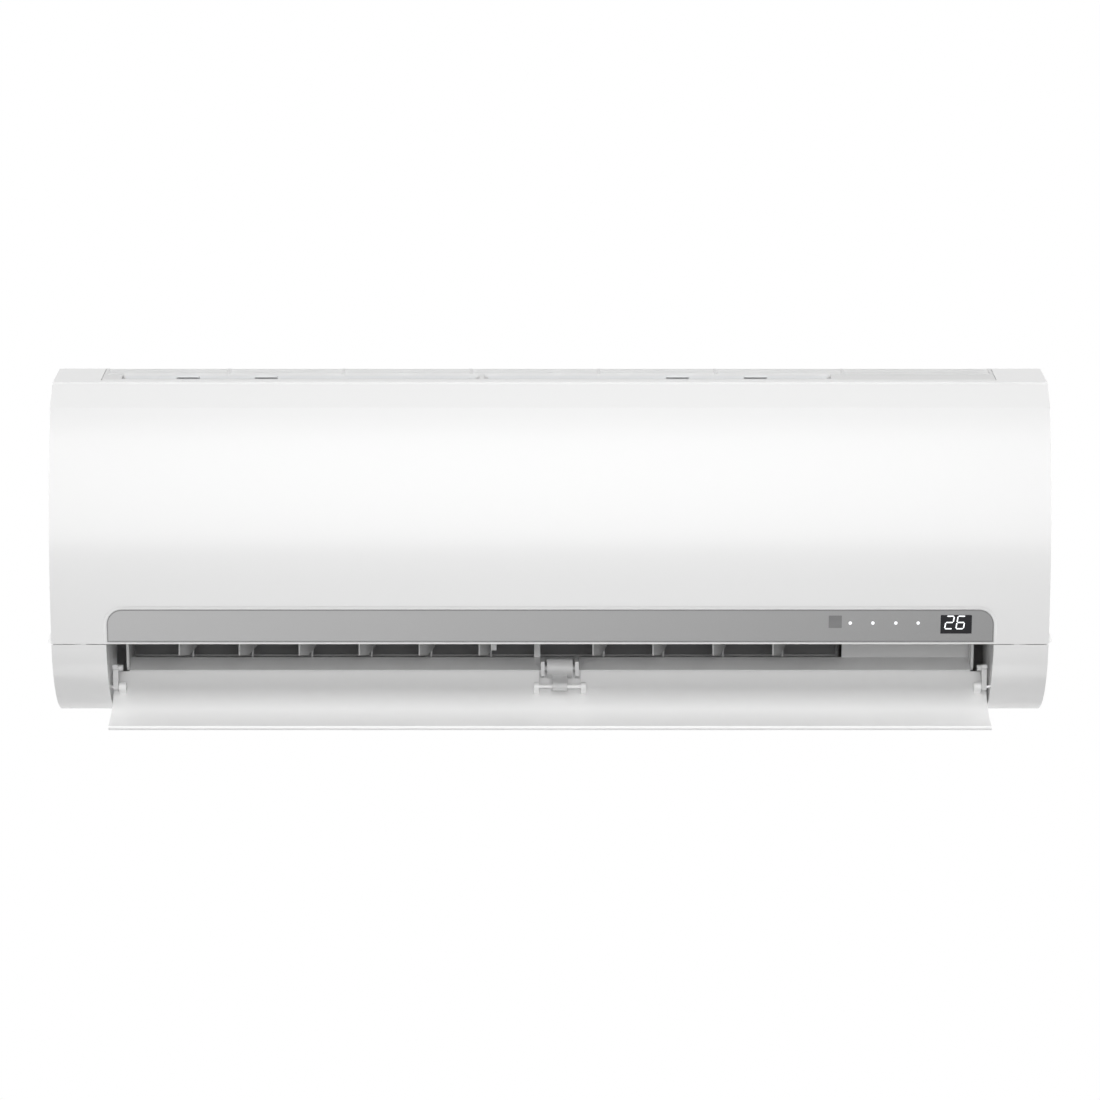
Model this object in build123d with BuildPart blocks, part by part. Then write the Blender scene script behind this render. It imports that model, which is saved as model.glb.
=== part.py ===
"""Indoor unit of a wall-hung split air conditioner, in separate pieces.

Width runs along X, the front faces -Y, the wall is the plane Y = 0 and Z is up. The origin is the centre of
the wall plate's four screw holes. Sections across the unit are drawn as (depth from the wall, height above
the base).
"""

import os
from math import atan2, cos, degrees, hypot, radians, sin, sqrt, tan

from build123d import *

os.makedirs("parts", exist_ok=True)

# ---- Driving dimensions, in millimetres and degrees ----

# Overall form
unit_width = 800.0
unit_height = 278.0
unit_depth = 188.0
plate_height = 150.0  # the origin's height above the casing's base
skin = 2.5
gap = 0.5
casing_back = 4.0

# Side profile, front to back
top_depth = 120.0
seam_depth = 164.0
seam_drop = 13.0
facet_depth = 180.0
facet_drop = 34.0
bulge_height = 155.0
foot_depth = 172.4
foot_height = 54.0
chin_radius = 72.0

# Casing
frame_depth = 162.5
lip_depth = 122.0
mouth_half = 356.0
cap_wall = 2.2
window_low = 92.0
window_high = 248.0
intake_back = 14.0
intake_front = 157.0
intake_left = -362.0
intake_right = 360.0

# Casing screws
screw_xs = (-300.0, 0.0, 215.0)
screw_radius = 2.0

# Intake grille and air filters
grille_bars = (-261.0, -168.0, -64.0, 39.5, 134.6, 238.0)
bar_thickness = 2.4
slat_thickness = 1.6
slat_pitch = 10.0
slat_deep = 8.0
slot_front = 152.8
slat_first = 24.0
slat_last = 139.0
filter_tilt = 10.0
filter_thick = 3.0
filter_exit = 148.0
filter_rear = 24.0
filter_front = 146.5
filter_rim = 6.0
net_thick = 0.6
filter_spans = ((-345.0, -58.0), (-52.0, 226.0))
filter_handles = (-261.0, 134.6)
handle_spread = 31.5

# Front panel and its hinge
panel_back = 163.1
panel_top_gap = 1.3
hinge_inset = 2.0
hinge_relief = 7.8
hinge_boss = 2.6
hinge_pin_radius = 1.5
hinge_arm_x = 375.0
hinge_arm_thick = 5.0
hinge_arm_drop = 20.0
hinge_notch = 10.0
hinge_socket_x = 384.0
grip_reach = 2.6
grip_top = 15.0

# Display strip in the panel
strip_left = -355.0
strip_right = 355.5
strip_top = 82.0
strip_foot = 56.0
strip_corner = 12.0
strip_deep = 1.5
strip_gap = 0.35
window_left = 312.8
window_right = 337.9
window_base = 63.0
window_top = 78.0
receiver_left = 223.2
receiver_right = 233.7
receiver_base = 67.5
receiver_top = 77.5
lamp_xs = (240.5, 258.6, 277.0, 294.9)
lamp_height = 71.5
lamp_radius = 1.35
board_depth = 167.0
board_thick = 1.6

# Cross-flow fan
fan_depth = 86.0
fan_height = 112.0
fan_radius = 44.0
fan_left = -322.0
fan_right = 222.0
fan_segments = 6
blade_count = 35
blade_thick = 1.2
blade_deep = 10.5
blade_lean = 5.0
hub_radius = 10.0
disc_thick = 2.0
shaft_radius = 4.0
running_gap = 0.08
bearing_radius = 9.0
bearing_length = 10.0

# Fan motor
motor_left = 252.0
motor_length = 52.0
motor_radius = 42.0
neck_radius = 16.0
neck_length = 8.0
ring_radius = 20.0
ring_length = 5.5
cover_rise = 52.0

# Air duct, deck and drain pan
duct_left = -343.5
blank_left = 239.5
deck_half = 343.5
shelf_height = 42.0
crest_depth = 100.0
deck_front = 116.0
deck_low = 32.0
post_left = -13.0
post_right = -8.0
pan_back = 131.5
pan_clearance = 0.4
pan_floor = 71.0
pan_rim = 90.0
spigot_radius = 8.0
spigot_bore = 5.5
spigot_length = 22.0
spigot_depth = 144.5
spigot_height = 80.5

# Horizontal flap and its hinge
flap_half = 354.5
flap_thick = 3.5
flap_root_angle = 71.5
flap_tip_angle = 16.5
hinge_set_in = 9.4
hinge_angle = 57.2
lug_radius = 3.4
lug_reach = 7.5
lug_length = 5.7
centre_lugs = ((-13.0, -9.0), (25.0, 29.0))
root_notch_angle = 60.0
flap_opening = 88.0
flap_pin_radius = 1.5
arm_inner = 350.0
arm_thick = 4.0
arm_top = 33.0
arm_width = 5.0
peg_radius = 2.4
peg_inner = 346.3
peg_height = 34.5
eye_left = 2.0
eye_right = 14.0
eye_radius = 3.6
drum_left = -2.4
drum_right = 18.4
drum_radius = 8.0

# Guide vanes and their links
vane_first = -293.6
vane_pitch = 49.0
left_vanes = 6
right_first = 44.2
right_vanes = 4
vane_pivot_depth = 94.0
vane_rear = 7.0
vane_fore = 27.0
vane_base = 44.0
vane_top = 58.6
vane_thick = 1.6
vane_turn = 20.0
vane_pin_radius = 1.0
vane_cut_fore = 9.0
vane_cut_rise = 7.5
peg_arm = 18.0
vane_peg_radius = 1.3
link_low = 59.2
link_thick = 2.2
link_width = 9.0
link_play = 0.5
tab_x = -46.0
tab_width = 4.5
tab_low = 48.0

# Flap motor
step_radius = 12.0
step_length = 19.0
step_rise = 10.3
step_back = 5.0

# Evaporator
coil_left = -335.0
coil_right = 222.0
coil_thick = 21.0
sheet_thick = 1.5
tube_radius = 3.5
tube_pitch = 21.0
front_coil = ((145.0, 75.0), (145.0, 180.0))
top_coil = ((147.0, 193.5), (97.0, 236.0))
rear_coil = ((80.0, 232.0), (36.0, 178.0))

# Refrigerant pipes
gas_radius = 4.76
liquid_radius = 3.18
pipe_wall = 0.8
gas_line_depth = 26.0
gas_line_height = 24.0
liquid_line_depth = 47.0
liquid_line_height = 20.0
pipe_end = -150.0
gas_rise_x = 262.0
liquid_rise_x = 286.0
nut_stagger = 32.0
gas_nut_flats = 19.0
liquid_nut_flats = 14.0
gas_nut_length = 20.0
liquid_nut_length = 16.0

# Electrical bay
box_left = 322.0
box_right = 388.0
box_back = 24.0
box_front = 150.0
box_base = 76.0
box_top = 232.0
box_wall = 2.0
button_x = 355.0
button_height = 120.0
button_radius = 4.0
button_tip = 160.5

# Chassis
chassis_back = 8.0
chassis_wall = 2.5
chassis_clearance = 5.5
base_front = 94.0
chassis_low = 3.2
chassis_top = 258.0
left_plate_x = -349.0
bay_x = 236.6
scroll_wall = 2.6
scroll_gaps = ((135.0, 6.1), (180.0, 8.0), (225.0, 14.0))
scroll_foot_depth = 72.0
rest_depths = (62.0, 72.0)
coil_rest_top = 164.0
trough_windows = ((-330.0, -126.0), (-114.0, 50.0), (82.0, 226.0))
trough_low = 10.0
trough_high = 52.0
cradle_half = 24.0
cradle_deep = 36.0

# Wall plate
wall_plate_width = 460.0
wall_plate_low = 62.0
wall_plate_high = 238.0
sheet_steel = 1.2
plate_flange = 6.3
hook_x = 150.0
hook_width = 30.0
hook_rise = 8.0
hole_spacing_x = 400.0
hole_spacing_z = 120.0
wall_hole_radius = 2.75

# ---- Places worked out from the dimensions above ----

half_width = unit_width / 2
base_z = -plate_height
seam_height = unit_height - seam_drop
facet_height = unit_height - facet_drop
hinge_depth = frame_depth - skin - hinge_inset
hinge_height = seam_height - skin - hinge_inset
chin_centre_depth = foot_depth - sqrt(chin_radius**2 - (chin_radius - foot_height) ** 2)
strip_slope = seam_drop / (seam_depth - top_depth)
flap_hinge_reach = chin_radius - hinge_set_in
flap_hinge_depth = chin_centre_depth + flap_hinge_reach * cos(radians(hinge_angle))
flap_hinge_height = chin_radius - flap_hinge_reach * sin(radians(hinge_angle))
drum_depth = crest_depth + 22.5
drum_height = shelf_height - 8.5
filter_exit_height = unit_height - strip_slope * (filter_exit - top_depth)
filter_slope = tan(radians(filter_tilt))
blade_inner = fan_radius - blade_deep
pan_front = frame_depth - skin - pan_clearance
chassis_half = half_width - skin - chassis_clearance
back_face = chassis_back + chassis_wall
motor_right = motor_left + motor_length
ring_lefts = (motor_left - neck_length + 0.5, motor_right + 1.5)


def section_at(x):
    """Upright plane across the unit: first axis out from the wall, second up from the base."""
    return Plane(origin=(x, 0, base_z), x_dir=(0, -1, 0), z_dir=(-1, 0, 0))


def front_view(depth=0.0):
    """Upright plane seen from the front: first axis along the width, second up from the base."""
    return Plane(origin=(0, -depth, base_z), x_dir=(1, 0, 0), z_dir=(0, -1, 0))


def level(height):
    """Flat plane at a height above the base."""
    return Plane.XY.offset(base_z + height)


def spot(x, depth, height):
    """Point in space from its place in the unit."""
    return (x, -depth, base_z + height)


def across(points, right, left, mode=Mode.ADD):
    """Prism from right to left over a closed outline of (depth, height) points."""
    with BuildSketch(section_at(right)) as outline:
        with BuildLine():
            Polyline(*points, close=True)
        make_face()
    extrude(outline.sketch, amount=right - left, mode=mode)


def box(left, right, back, front, low, high, mode=Mode.ADD):
    """Square block between two places on each axis."""
    across([(back, low), (front, low), (front, high), (back, high)], right, left, mode)


def rod(depth, height, radius, right, left, mode=Mode.ADD):
    """Round bar along the width."""
    with BuildSketch(section_at(right)) as ring:
        with Locations((depth, height)):
            Circle(radius)
    extrude(ring.sketch, amount=right - left, mode=mode)


def body_outline(x, inset=0.0, window=None):
    """The unit's outer section, drawn in by a wall, or only its part in a (back, front, low, high) window."""
    with BuildSketch(section_at(x)) as outline:
        with BuildLine():
            Polyline(
                (chin_centre_depth, 0),
                (0, 0),
                (0, unit_height),
                (top_depth, unit_height),
                (seam_depth, seam_height),
                (facet_depth, facet_height),
            )
            ThreePointArc((facet_depth, facet_height), (unit_depth, bulge_height), (foot_depth, foot_height))
            foot_angle = degrees(atan2(foot_height - chin_radius, foot_depth - chin_centre_depth))
            CenterArc((chin_centre_depth, chin_radius), chin_radius, -90, 90 + foot_angle)
        make_face()
        if inset:
            offset(amount=-inset, kind=Kind.INTERSECTION)
        if window:
            back, front, low, high = window
            with Locations(((back + front) / 2, (low + high) / 2)):
                Rectangle(front - back, high - low, mode=Mode.INTERSECT)
    return outline.sketch


def front_layer(shape, outer, inner):
    """Layer of the curved front between two insets, cut to a shape drawn in front view."""
    with BuildPart() as layer:
        extrude(body_outline(half_width, outer), amount=unit_width)
        extrude(body_outline(half_width + skin, inner), amount=unit_width + 2 * skin, mode=Mode.SUBTRACT)
        extrude(shape, amount=unit_depth, mode=Mode.INTERSECT)
    return layer.part


def front_shape(left, right, low, high, top_corner=0.0):
    """Rectangle in front view, with its two top corners rounded where a radius is given."""
    with BuildSketch(front_view(top_depth)) as shape:
        with Locations(((left + right) / 2, (low + high) / 2)):
            Rectangle(right - left, high - low)
        if top_corner:
            fillet(shape.vertices().group_by(Axis.Y)[-1], top_corner)
    return shape.sketch


def keep(part, name):
    """Label a finished piece and write it to its own file."""
    part.label = name
    export_step(part, f"parts/{name}.step")


# ---- Wall plate: pressed steel, screwed to the wall, with two hooks for the chassis ----

with BuildPart() as mounting_plate:
    box(-wall_plate_width / 2, wall_plate_width / 2, 0, sheet_steel, wall_plate_low, wall_plate_high)
    for flange_low in (wall_plate_low, wall_plate_high - sheet_steel):
        box(
            -wall_plate_width / 2,
            wall_plate_width / 2,
            0,
            plate_flange,
            flange_low,
            flange_low + sheet_steel,
        )
    for side in (-1, 1):
        hook_left = side * hook_x - hook_width / 2
        hook_depth = chassis_back + chassis_wall + gap
        box(
            hook_left,
            hook_left + hook_width,
            0,
            hook_depth + sheet_steel,
            wall_plate_high - sheet_steel,
            wall_plate_high,
        )
        box(
            hook_left,
            hook_left + hook_width,
            hook_depth,
            hook_depth + sheet_steel,
            wall_plate_high - sheet_steel,
            wall_plate_high + hook_rise,
        )
    with BuildSketch(front_view()) as wall_holes:
        with Locations((0, plate_height)):
            with GridLocations(hole_spacing_x, hole_spacing_z, 2, 2):
                Circle(wall_hole_radius)
    extrude(wall_holes.sketch, amount=sheet_steel, mode=Mode.SUBTRACT)

keep(mounting_plate.part, "mounting_plate")

# ---- Rear chassis: back wall, base, fan scroll, rear trough, end plates and motor cradle ----


def round_fan(turn, reach):
    """Point at a distance from the fan's axis, turned up from straight ahead by an angle."""
    return (fan_depth + reach * cos(radians(turn)), fan_height + reach * sin(radians(turn)))


scroll_points = [round_fan(turn, fan_radius + room) for turn, room in scroll_gaps]
outer_points = [round_fan(turn, fan_radius + room + scroll_wall) for turn, room in scroll_gaps]
scroll_points.append((scroll_foot_depth, shelf_height + 1.5))
outer_points.append((scroll_foot_depth, shelf_height - 1.0))
scroll_top = scroll_points[0]
end_plate = [
    (back_face, chassis_low),
    (70.0, chassis_low),
    (70.0, 46.0),
    (95.0, 66.0),
    (124.0, 92.0),
    (124.0, 148.0),
    (108.0, 172.0),
    (60.0, coil_rest_top),
    (back_face, coil_rest_top),
]

with BuildPart() as rear_chassis:
    box(-chassis_half, chassis_half, chassis_back, back_face, chassis_low, chassis_top)
    box(-chassis_half, chassis_half, chassis_back, base_front, chassis_low, chassis_low + chassis_wall)
    with BuildSketch(section_at(bay_x)) as scroll:
        with BuildLine():
            inner_scroll = Spline(*scroll_points)
            outer_scroll = Spline(*outer_points)
            Line(inner_scroll @ 0, outer_scroll @ 0)
            Line(inner_scroll @ 1, outer_scroll @ 1)
        make_face()
    extrude(scroll.sketch, amount=bay_x - left_plate_x)
    # web from the scroll's top edge back to the wall
    across(
        [
            (chassis_back + 1, scroll_top[1] + 10.6),
            (scroll_top[0] - 1.6, scroll_top[1] - 1.4),
            scroll_top,
            (scroll_top[0], scroll_top[1] + 2.6),
            (chassis_back + 1, scroll_top[1] + 14.1),
        ],
        bay_x,
        left_plate_x,
    )
    for plate_x in (left_plate_x, bay_x):
        across(end_plate, plate_x + chassis_wall, plate_x)
    # rests for the evaporator's end sheets
    box(left_plate_x, coil_left - sheet_thick - 0.3, *rest_depths, coil_rest_top - 8, coil_rest_top)
    box(coil_right + sheet_thick + 0.3, bay_x, *rest_depths, coil_rest_top - 8, coil_rest_top)
    # motor cradle
    for cradle_x in ring_lefts:
        box(
            cradle_x,
            cradle_x + ring_length,
            fan_depth - cradle_half,
            fan_depth + cradle_half,
            fan_height - cradle_deep,
            fan_height,
        )
        box(
            cradle_x,
            cradle_x + ring_length,
            fan_depth - cradle_half + 4,
            base_front + 2,
            chassis_low,
            fan_height - cradle_deep,
        )
    box(motor_left - neck_length, motor_right + neck_length, rest_depths[0], base_front, chassis_low, 14.0)
    # bores and cuts
    rod(fan_depth, fan_height, neck_radius, left_plate_x + 20, left_plate_x - 1, Mode.SUBTRACT)
    rod(fan_depth, fan_height, hub_radius, bay_x + 5, bay_x - 1, Mode.SUBTRACT)
    rod(
        fan_depth,
        fan_height,
        ring_radius,
        motor_right + neck_length + 1,
        motor_left - neck_length - 1,
        Mode.SUBTRACT,
    )
    rod(gas_line_depth, gas_line_height, gas_radius + 3, bay_x + 5, bay_x - 1, Mode.SUBTRACT)
    rod(liquid_line_depth, liquid_line_height, liquid_radius + 3, bay_x + 5, bay_x - 1, Mode.SUBTRACT)
    for side in (-1, 1):
        box(
            side * hook_x - hook_width / 2 - 2,
            side * hook_x + hook_width / 2 + 2,
            chassis_back - 1,
            back_face + 1,
            wall_plate_high - sheet_steel - 1,
            wall_plate_high + hook_rise + 2,
            Mode.SUBTRACT,
        )
    # windows in the back wall, through which the pipes are reached
    for window_left_x, window_right_x in trough_windows:
        box(
            window_left_x,
            window_right_x,
            chassis_back - 1,
            back_face + 1,
            trough_low,
            trough_high,
            Mode.SUBTRACT,
        )

keep(rear_chassis.part, "rear_chassis")

# ---- Front casing: one moulding with the top, the ends, the frame behind the panel and two end caps ----

screw_places = [(screw_x, pan_rim - 3) for screw_x in screw_xs]
intake_cut = (intake_left, intake_right, intake_back, intake_front, seam_height - 5, unit_height + 1)

with BuildPart() as front_casing:
    extrude(body_outline(half_width), amount=unit_width)
    extrude(body_outline(half_width - skin, skin), amount=unit_width - 2 * skin, mode=Mode.SUBTRACT)
    box(-unit_width, unit_width, -1, casing_back, -1, unit_height + 1, Mode.SUBTRACT)
    # room for the front panel, under the top strip
    across(
        [
            (frame_depth, foot_height),
            (unit_depth + skin, foot_height),
            (unit_depth + skin, unit_height + skin),
            (seam_depth, unit_height + skin),
            (seam_depth, seam_height - skin),
            (frame_depth, seam_height - skin),
        ],
        unit_width,
        -unit_width,
        Mode.SUBTRACT,
    )
    # mouth of the air outlet
    box(-mouth_half, mouth_half, lip_depth, unit_depth + 1, -1, foot_height + 4, Mode.SUBTRACT)
    # end caps: inner walls beside the mouth and ledges under the panel
    for inner_right in (-mouth_half, mouth_half + cap_wall):
        extrude(
            body_outline(inner_right, window=(95.0, unit_depth, 0, foot_height)),
            amount=cap_wall,
        )
    for ledge_right in (-mouth_half, half_width):
        ledge_window = (frame_depth - skin, unit_depth, foot_height - skin, foot_height)
        extrude(body_outline(ledge_right, window=ledge_window), amount=half_width - mouth_half)
    # upright frame behind the panel, with two filter windows and the hinge notches
    box(
        -half_width + skin,
        half_width - skin,
        frame_depth - skin,
        frame_depth,
        foot_height + 4,
        seam_height - 1,
    )
    for window_edge_left, window_edge_right in filter_spans:
        box(
            window_edge_left,
            window_edge_right,
            frame_depth - skin - 1,
            frame_depth + 1,
            window_low,
            window_high,
            Mode.SUBTRACT,
        )
    for side in (-1, 1):
        box(
            side * hinge_arm_x - hinge_notch / 2,
            side * hinge_arm_x + hinge_notch / 2,
            frame_depth - skin - 1,
            frame_depth + 1,
            hinge_height - hinge_arm_drop - 6,
            seam_height - skin,
            Mode.SUBTRACT,
        )
        socket_edges = sorted((side * hinge_socket_x, side * (half_width - skin)))
        box(*socket_edges, hinge_depth - 4, frame_depth, hinge_height - 4, hinge_height + 3.6)
    rod(
        hinge_depth,
        hinge_height,
        hinge_pin_radius + running_gap,
        half_width - skin,
        -half_width + skin,
        Mode.SUBTRACT,
    )
    # top intake opening, flap bearing holes, display window and button holes in the frame
    box(*intake_cut, Mode.SUBTRACT)
    rod(
        flap_hinge_depth,
        flap_hinge_height,
        flap_pin_radius + running_gap,
        mouth_half + cap_wall + step_length,
        -mouth_half - cap_wall - 0.5,
        Mode.SUBTRACT,
    )
    with BuildSketch(front_view(frame_depth - 2 * skin)) as front_holes:
        with Locations((button_x, button_height)):
            Circle(button_radius + 1.5)
        with Locations(*screw_places):
            Circle(screw_radius + 0.1)
    extrude(front_holes.sketch, amount=4 * skin, mode=Mode.SUBTRACT)

keep(front_casing.part, "front_casing")

# ---- Intake grille: bars along and across the top opening, with two slots for the filters ----


def top_surface(depth):
    """Height of the casing's top face at a depth from the wall."""
    return unit_height - max(0.0, strip_slope * (depth - top_depth))


def filter_line(depth, side):
    """Height of the filter's lower (side -1) or upper (side 1) face at a depth."""
    half_upright = filter_thick / 2 / cos(radians(filter_tilt))
    return filter_exit_height + (depth - filter_exit) * filter_slope + side * half_upright


with BuildPart() as intake_grille:
    grille_left = intake_left + gap
    grille_right = intake_right - gap
    grille_back = intake_back + gap
    grille_front = intake_front - gap
    # rear, front and end borders
    box(grille_left, grille_right, grille_back, grille_back + skin, unit_height - slat_deep, unit_height)
    across(
        [
            (slot_front, top_surface(slot_front)),
            (grille_front, top_surface(grille_front)),
            (grille_front, top_surface(grille_front) - skin),
            (slot_front, top_surface(slot_front) - skin),
        ],
        grille_right,
        grille_left,
    )
    for end_left in (grille_left, grille_right - skin):
        across(
            [
                (grille_back, unit_height - slat_deep),
                (grille_back, unit_height),
                (top_depth, unit_height),
                (grille_front, top_surface(grille_front)),
                (grille_front, top_surface(grille_front) - skin),
                (slat_last, top_surface(slat_last) - skin),
            ],
            end_left + skin,
            end_left,
        )
    # bars along the width
    for step in range(int((slat_last - slat_first) / slat_pitch) + 1):
        slat_depth = slat_first + step * slat_pitch
        slat_base = max(top_surface(slat_depth) - slat_deep, filter_line(slat_depth, 1) + 1.2)
        across(
            [
                (slat_depth - slat_thickness / 2, slat_base),
                (slat_depth + slat_thickness / 2, slat_base),
                (slat_depth + slat_thickness / 2, top_surface(slat_depth + slat_thickness / 2)),
                (slat_depth - slat_thickness / 2, top_surface(slat_depth - slat_thickness / 2)),
            ],
            grille_right,
            grille_left,
        )
    # bars across, which stop at the filter slots
    for bar_x in grille_bars:
        across(
            [
                (grille_back, unit_height - slat_deep),
                (grille_back, unit_height),
                (top_depth, unit_height),
                (slat_last, top_surface(slat_last)),
                (slat_last, top_surface(slat_last) - slat_thickness),
                (top_depth - slat_pitch, unit_height - slat_deep + 1.0),
            ],
            bar_x + bar_thickness / 2,
            bar_x - bar_thickness / 2,
        )
    # webs between the slots carry the front border
    slot_edges = (grille_left, *filter_spans[0], *filter_spans[1], grille_right)
    for web_left, web_right in zip(slot_edges[::2], slot_edges[1::2]):
        across(
            [
                (slat_last, top_surface(slat_last)),
                (slot_front, top_surface(slot_front)),
                (slot_front, top_surface(slot_front) - skin),
                (slat_last, top_surface(slat_last) - skin),
            ],
            web_right - 1.0,
            web_left + 1.0,
        )

keep(intake_grille.part, "intake_grille")

# ---- Air filters: a stiff frame with ribs and two pull tabs, and a net laid in it ----


def filter_plane(x):
    """Section plane tilted along the filter: first axis along its slide, second square to it."""
    return Plane(
        origin=spot(x, filter_exit, filter_exit_height),
        x_dir=(0, -cos(radians(filter_tilt)), sin(radians(filter_tilt))),
        z_dir=(-1, 0, 0),
    )


def filter_slab(left, right, near, far, low, high, mode=Mode.ADD):
    """Block in the filter's own directions; near and far are measured from where it leaves the grille."""
    with BuildSketch(filter_plane(right)) as slab:
        with BuildLine():
            Polyline((near, low), (far, low), (far, high), (near, high), close=True)
        make_face()
    extrude(slab.sketch, amount=right - left, mode=mode)


filter_length = (filter_front - filter_rear) / cos(radians(filter_tilt))
filter_lead = (filter_front - filter_exit) / cos(radians(filter_tilt))
for place, (span_left, span_right), handle_x in zip(("left", "right"), filter_spans, filter_handles):
    frame_left = span_left + 2.0
    frame_right = span_right - 2.0
    near_end = filter_lead - filter_length
    with BuildPart() as air_filter:
        filter_slab(frame_left, frame_right, near_end, filter_lead, -filter_thick / 2, filter_thick / 2)
        columns = 5
        rows = 3
        cell_width = (frame_right - frame_left - (columns + 1) * filter_rim) / columns
        cell_length = (filter_length - (rows + 1) * filter_rim) / rows
        for column in range(columns):
            for row in range(rows):
                cell_left = frame_left + filter_rim + column * (cell_width + filter_rim)
                cell_near = near_end + filter_rim + row * (cell_length + filter_rim)
                filter_slab(
                    cell_left,
                    cell_left + cell_width,
                    cell_near,
                    cell_near + cell_length,
                    -filter_thick,
                    filter_thick,
                    Mode.SUBTRACT,
                )
        filter_slab(
            frame_left + 2,
            frame_right - 2,
            near_end + 2,
            filter_lead - 2,
            -filter_thick,
            -filter_thick / 2 + net_thick,
            Mode.SUBTRACT,
        )
        for side in (-1, 1):
            tab_centre = handle_x + side * handle_spread
            filter_slab(tab_centre - 9, tab_centre + 9, filter_lead - 1, filter_lead + 4.5, -0.9, 0.9)
    keep(air_filter.part, f"{place}_air_filter")
    with BuildPart() as filter_net:
        filter_slab(
            frame_left + 2.2,
            frame_right - 2.2,
            near_end + 2.2,
            filter_lead - 2.2,
            -filter_thick / 2,
            -filter_thick / 2 + net_thick,
        )
    keep(filter_net.part, f"{place}_filter_net")

# ---- Front panel: curved cover hung from two hinge arms, with a recess for the display strip ----

recess_shape = front_shape(
    strip_left - strip_gap,
    strip_right + strip_gap,
    strip_foot,
    strip_top + strip_gap,
    strip_corner + strip_gap,
)
lip_shape = front_shape(strip_left - 3.0, strip_right + 3.0, foot_height, strip_top + 3.0, strip_corner + 3.0)
window_shape = front_shape(window_left, window_right, window_base, window_top, 1.0)
receiver_shape = front_shape(receiver_left, receiver_right, receiver_base, receiver_top)
with BuildSketch(front_view(top_depth)) as lamp_shape:
    with Locations(*[(lamp_x, lamp_height) for lamp_x in lamp_xs]):
        Circle(lamp_radius)
openings_shape = window_shape + receiver_shape + lamp_shape.sketch

with BuildPart() as front_panel:
    panel_low = foot_height + gap
    panel_window = (panel_back, unit_depth + 1, panel_low, unit_height)
    extrude(body_outline(half_width, window=panel_window), amount=unit_width)
    extrude(body_outline(half_width - skin, skin), amount=unit_width - 2 * skin, mode=Mode.SUBTRACT)
    # clear the casing's top strip and the hinge line
    box(-unit_width, unit_width, 0, seam_depth + panel_top_gap, hinge_height - 4, unit_height, Mode.SUBTRACT)
    rod(hinge_depth, hinge_height, hinge_relief, unit_width, -unit_width, Mode.SUBTRACT)
    # finger grips at the lower corners
    for side in (-1, 1):
        with BuildSketch(front_view(panel_back + 1)) as grip:
            with BuildLine():
                Polyline(
                    (side * (half_width - 1), panel_low + grip_top),
                    (side * (half_width + grip_reach), panel_low + 3.5),
                    (side * (half_width + grip_reach), panel_low + 1.5),
                    (side * (half_width - 1), panel_low),
                    close=True,
                )
            make_face()
        extrude(grip.sketch, amount=6.5)
    # hinge arms
    for side in (-1, 1):
        arm_right = side * hinge_arm_x + hinge_arm_thick / 2
        rod(hinge_depth, hinge_height, hinge_boss, arm_right, arm_right - hinge_arm_thick)
        across(
            [
                (hinge_depth - hinge_boss, hinge_height),
                (hinge_depth - hinge_boss, hinge_height - hinge_arm_drop),
                (174.5, hinge_height - hinge_arm_drop),
                (176.0, hinge_height - hinge_arm_drop + 5.5),
                (hinge_depth + hinge_boss, hinge_height - hinge_arm_drop + 5.5),
                (hinge_depth + hinge_boss, hinge_height),
            ],
            arm_right,
            arm_right - hinge_arm_thick,
        )
    rod(hinge_depth, hinge_height, hinge_pin_radius, unit_width, -unit_width, Mode.SUBTRACT)
    # recess with a low stepped lip, and the openings behind the strip
    add(front_layer(lip_shape, 0.0, 0.5), mode=Mode.SUBTRACT)
    add(front_layer(recess_shape, 0.0, strip_deep), mode=Mode.SUBTRACT)
    extrude(openings_shape, amount=unit_depth, mode=Mode.SUBTRACT)

keep(front_panel.part, "front_panel")

with BuildPart() as panel_hinge_pins:
    for side in (-1, 1):
        pin_edges = sorted((side * (hinge_arm_x - hinge_arm_thick / 2), side * (half_width - skin - 3)))
        rod(hinge_depth, hinge_height, hinge_pin_radius, pin_edges[1], pin_edges[0])

keep(panel_hinge_pins.part, "panel_hinge_pins")

# ---- Display: grey strip, dark window, receiver, lamps, digits and their board ----

strip_shape = front_shape(strip_left, strip_right, strip_foot + strip_gap, strip_top, strip_corner)
with BuildPart() as display_strip:
    add(front_layer(strip_shape, 0.0, strip_deep))
    extrude(openings_shape, amount=unit_depth, mode=Mode.SUBTRACT)
keep(display_strip.part, "display_strip")

with BuildPart() as display_window:
    add(front_layer(front_shape(window_left, window_right, window_base, window_top, 1.0), 0.1, strip_deep))
keep(display_window.part, "display_window")

with BuildPart() as receiver_window:
    add(front_layer(receiver_shape, 0.1, strip_deep))
keep(receiver_window.part, "receiver_window")

with BuildPart() as status_lamps:
    with BuildSketch(front_view(board_depth + board_thick)):
        with Locations(*[(lamp_x, lamp_height) for lamp_x in lamp_xs]):
            Circle(lamp_radius)
    extrude(amount=unit_depth / 2)
    extrude(body_outline(half_width, 0.0), amount=unit_width, mode=Mode.INTERSECT)
keep(status_lamps.part, "status_lamps")

with BuildPart() as digit_display:
    box(
        window_left + 1,
        window_right - 1,
        board_depth + board_thick,
        board_depth + 5.0,
        window_base + 1,
        window_top - 1,
    )
keep(digit_display.part, "digit_display")

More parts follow.
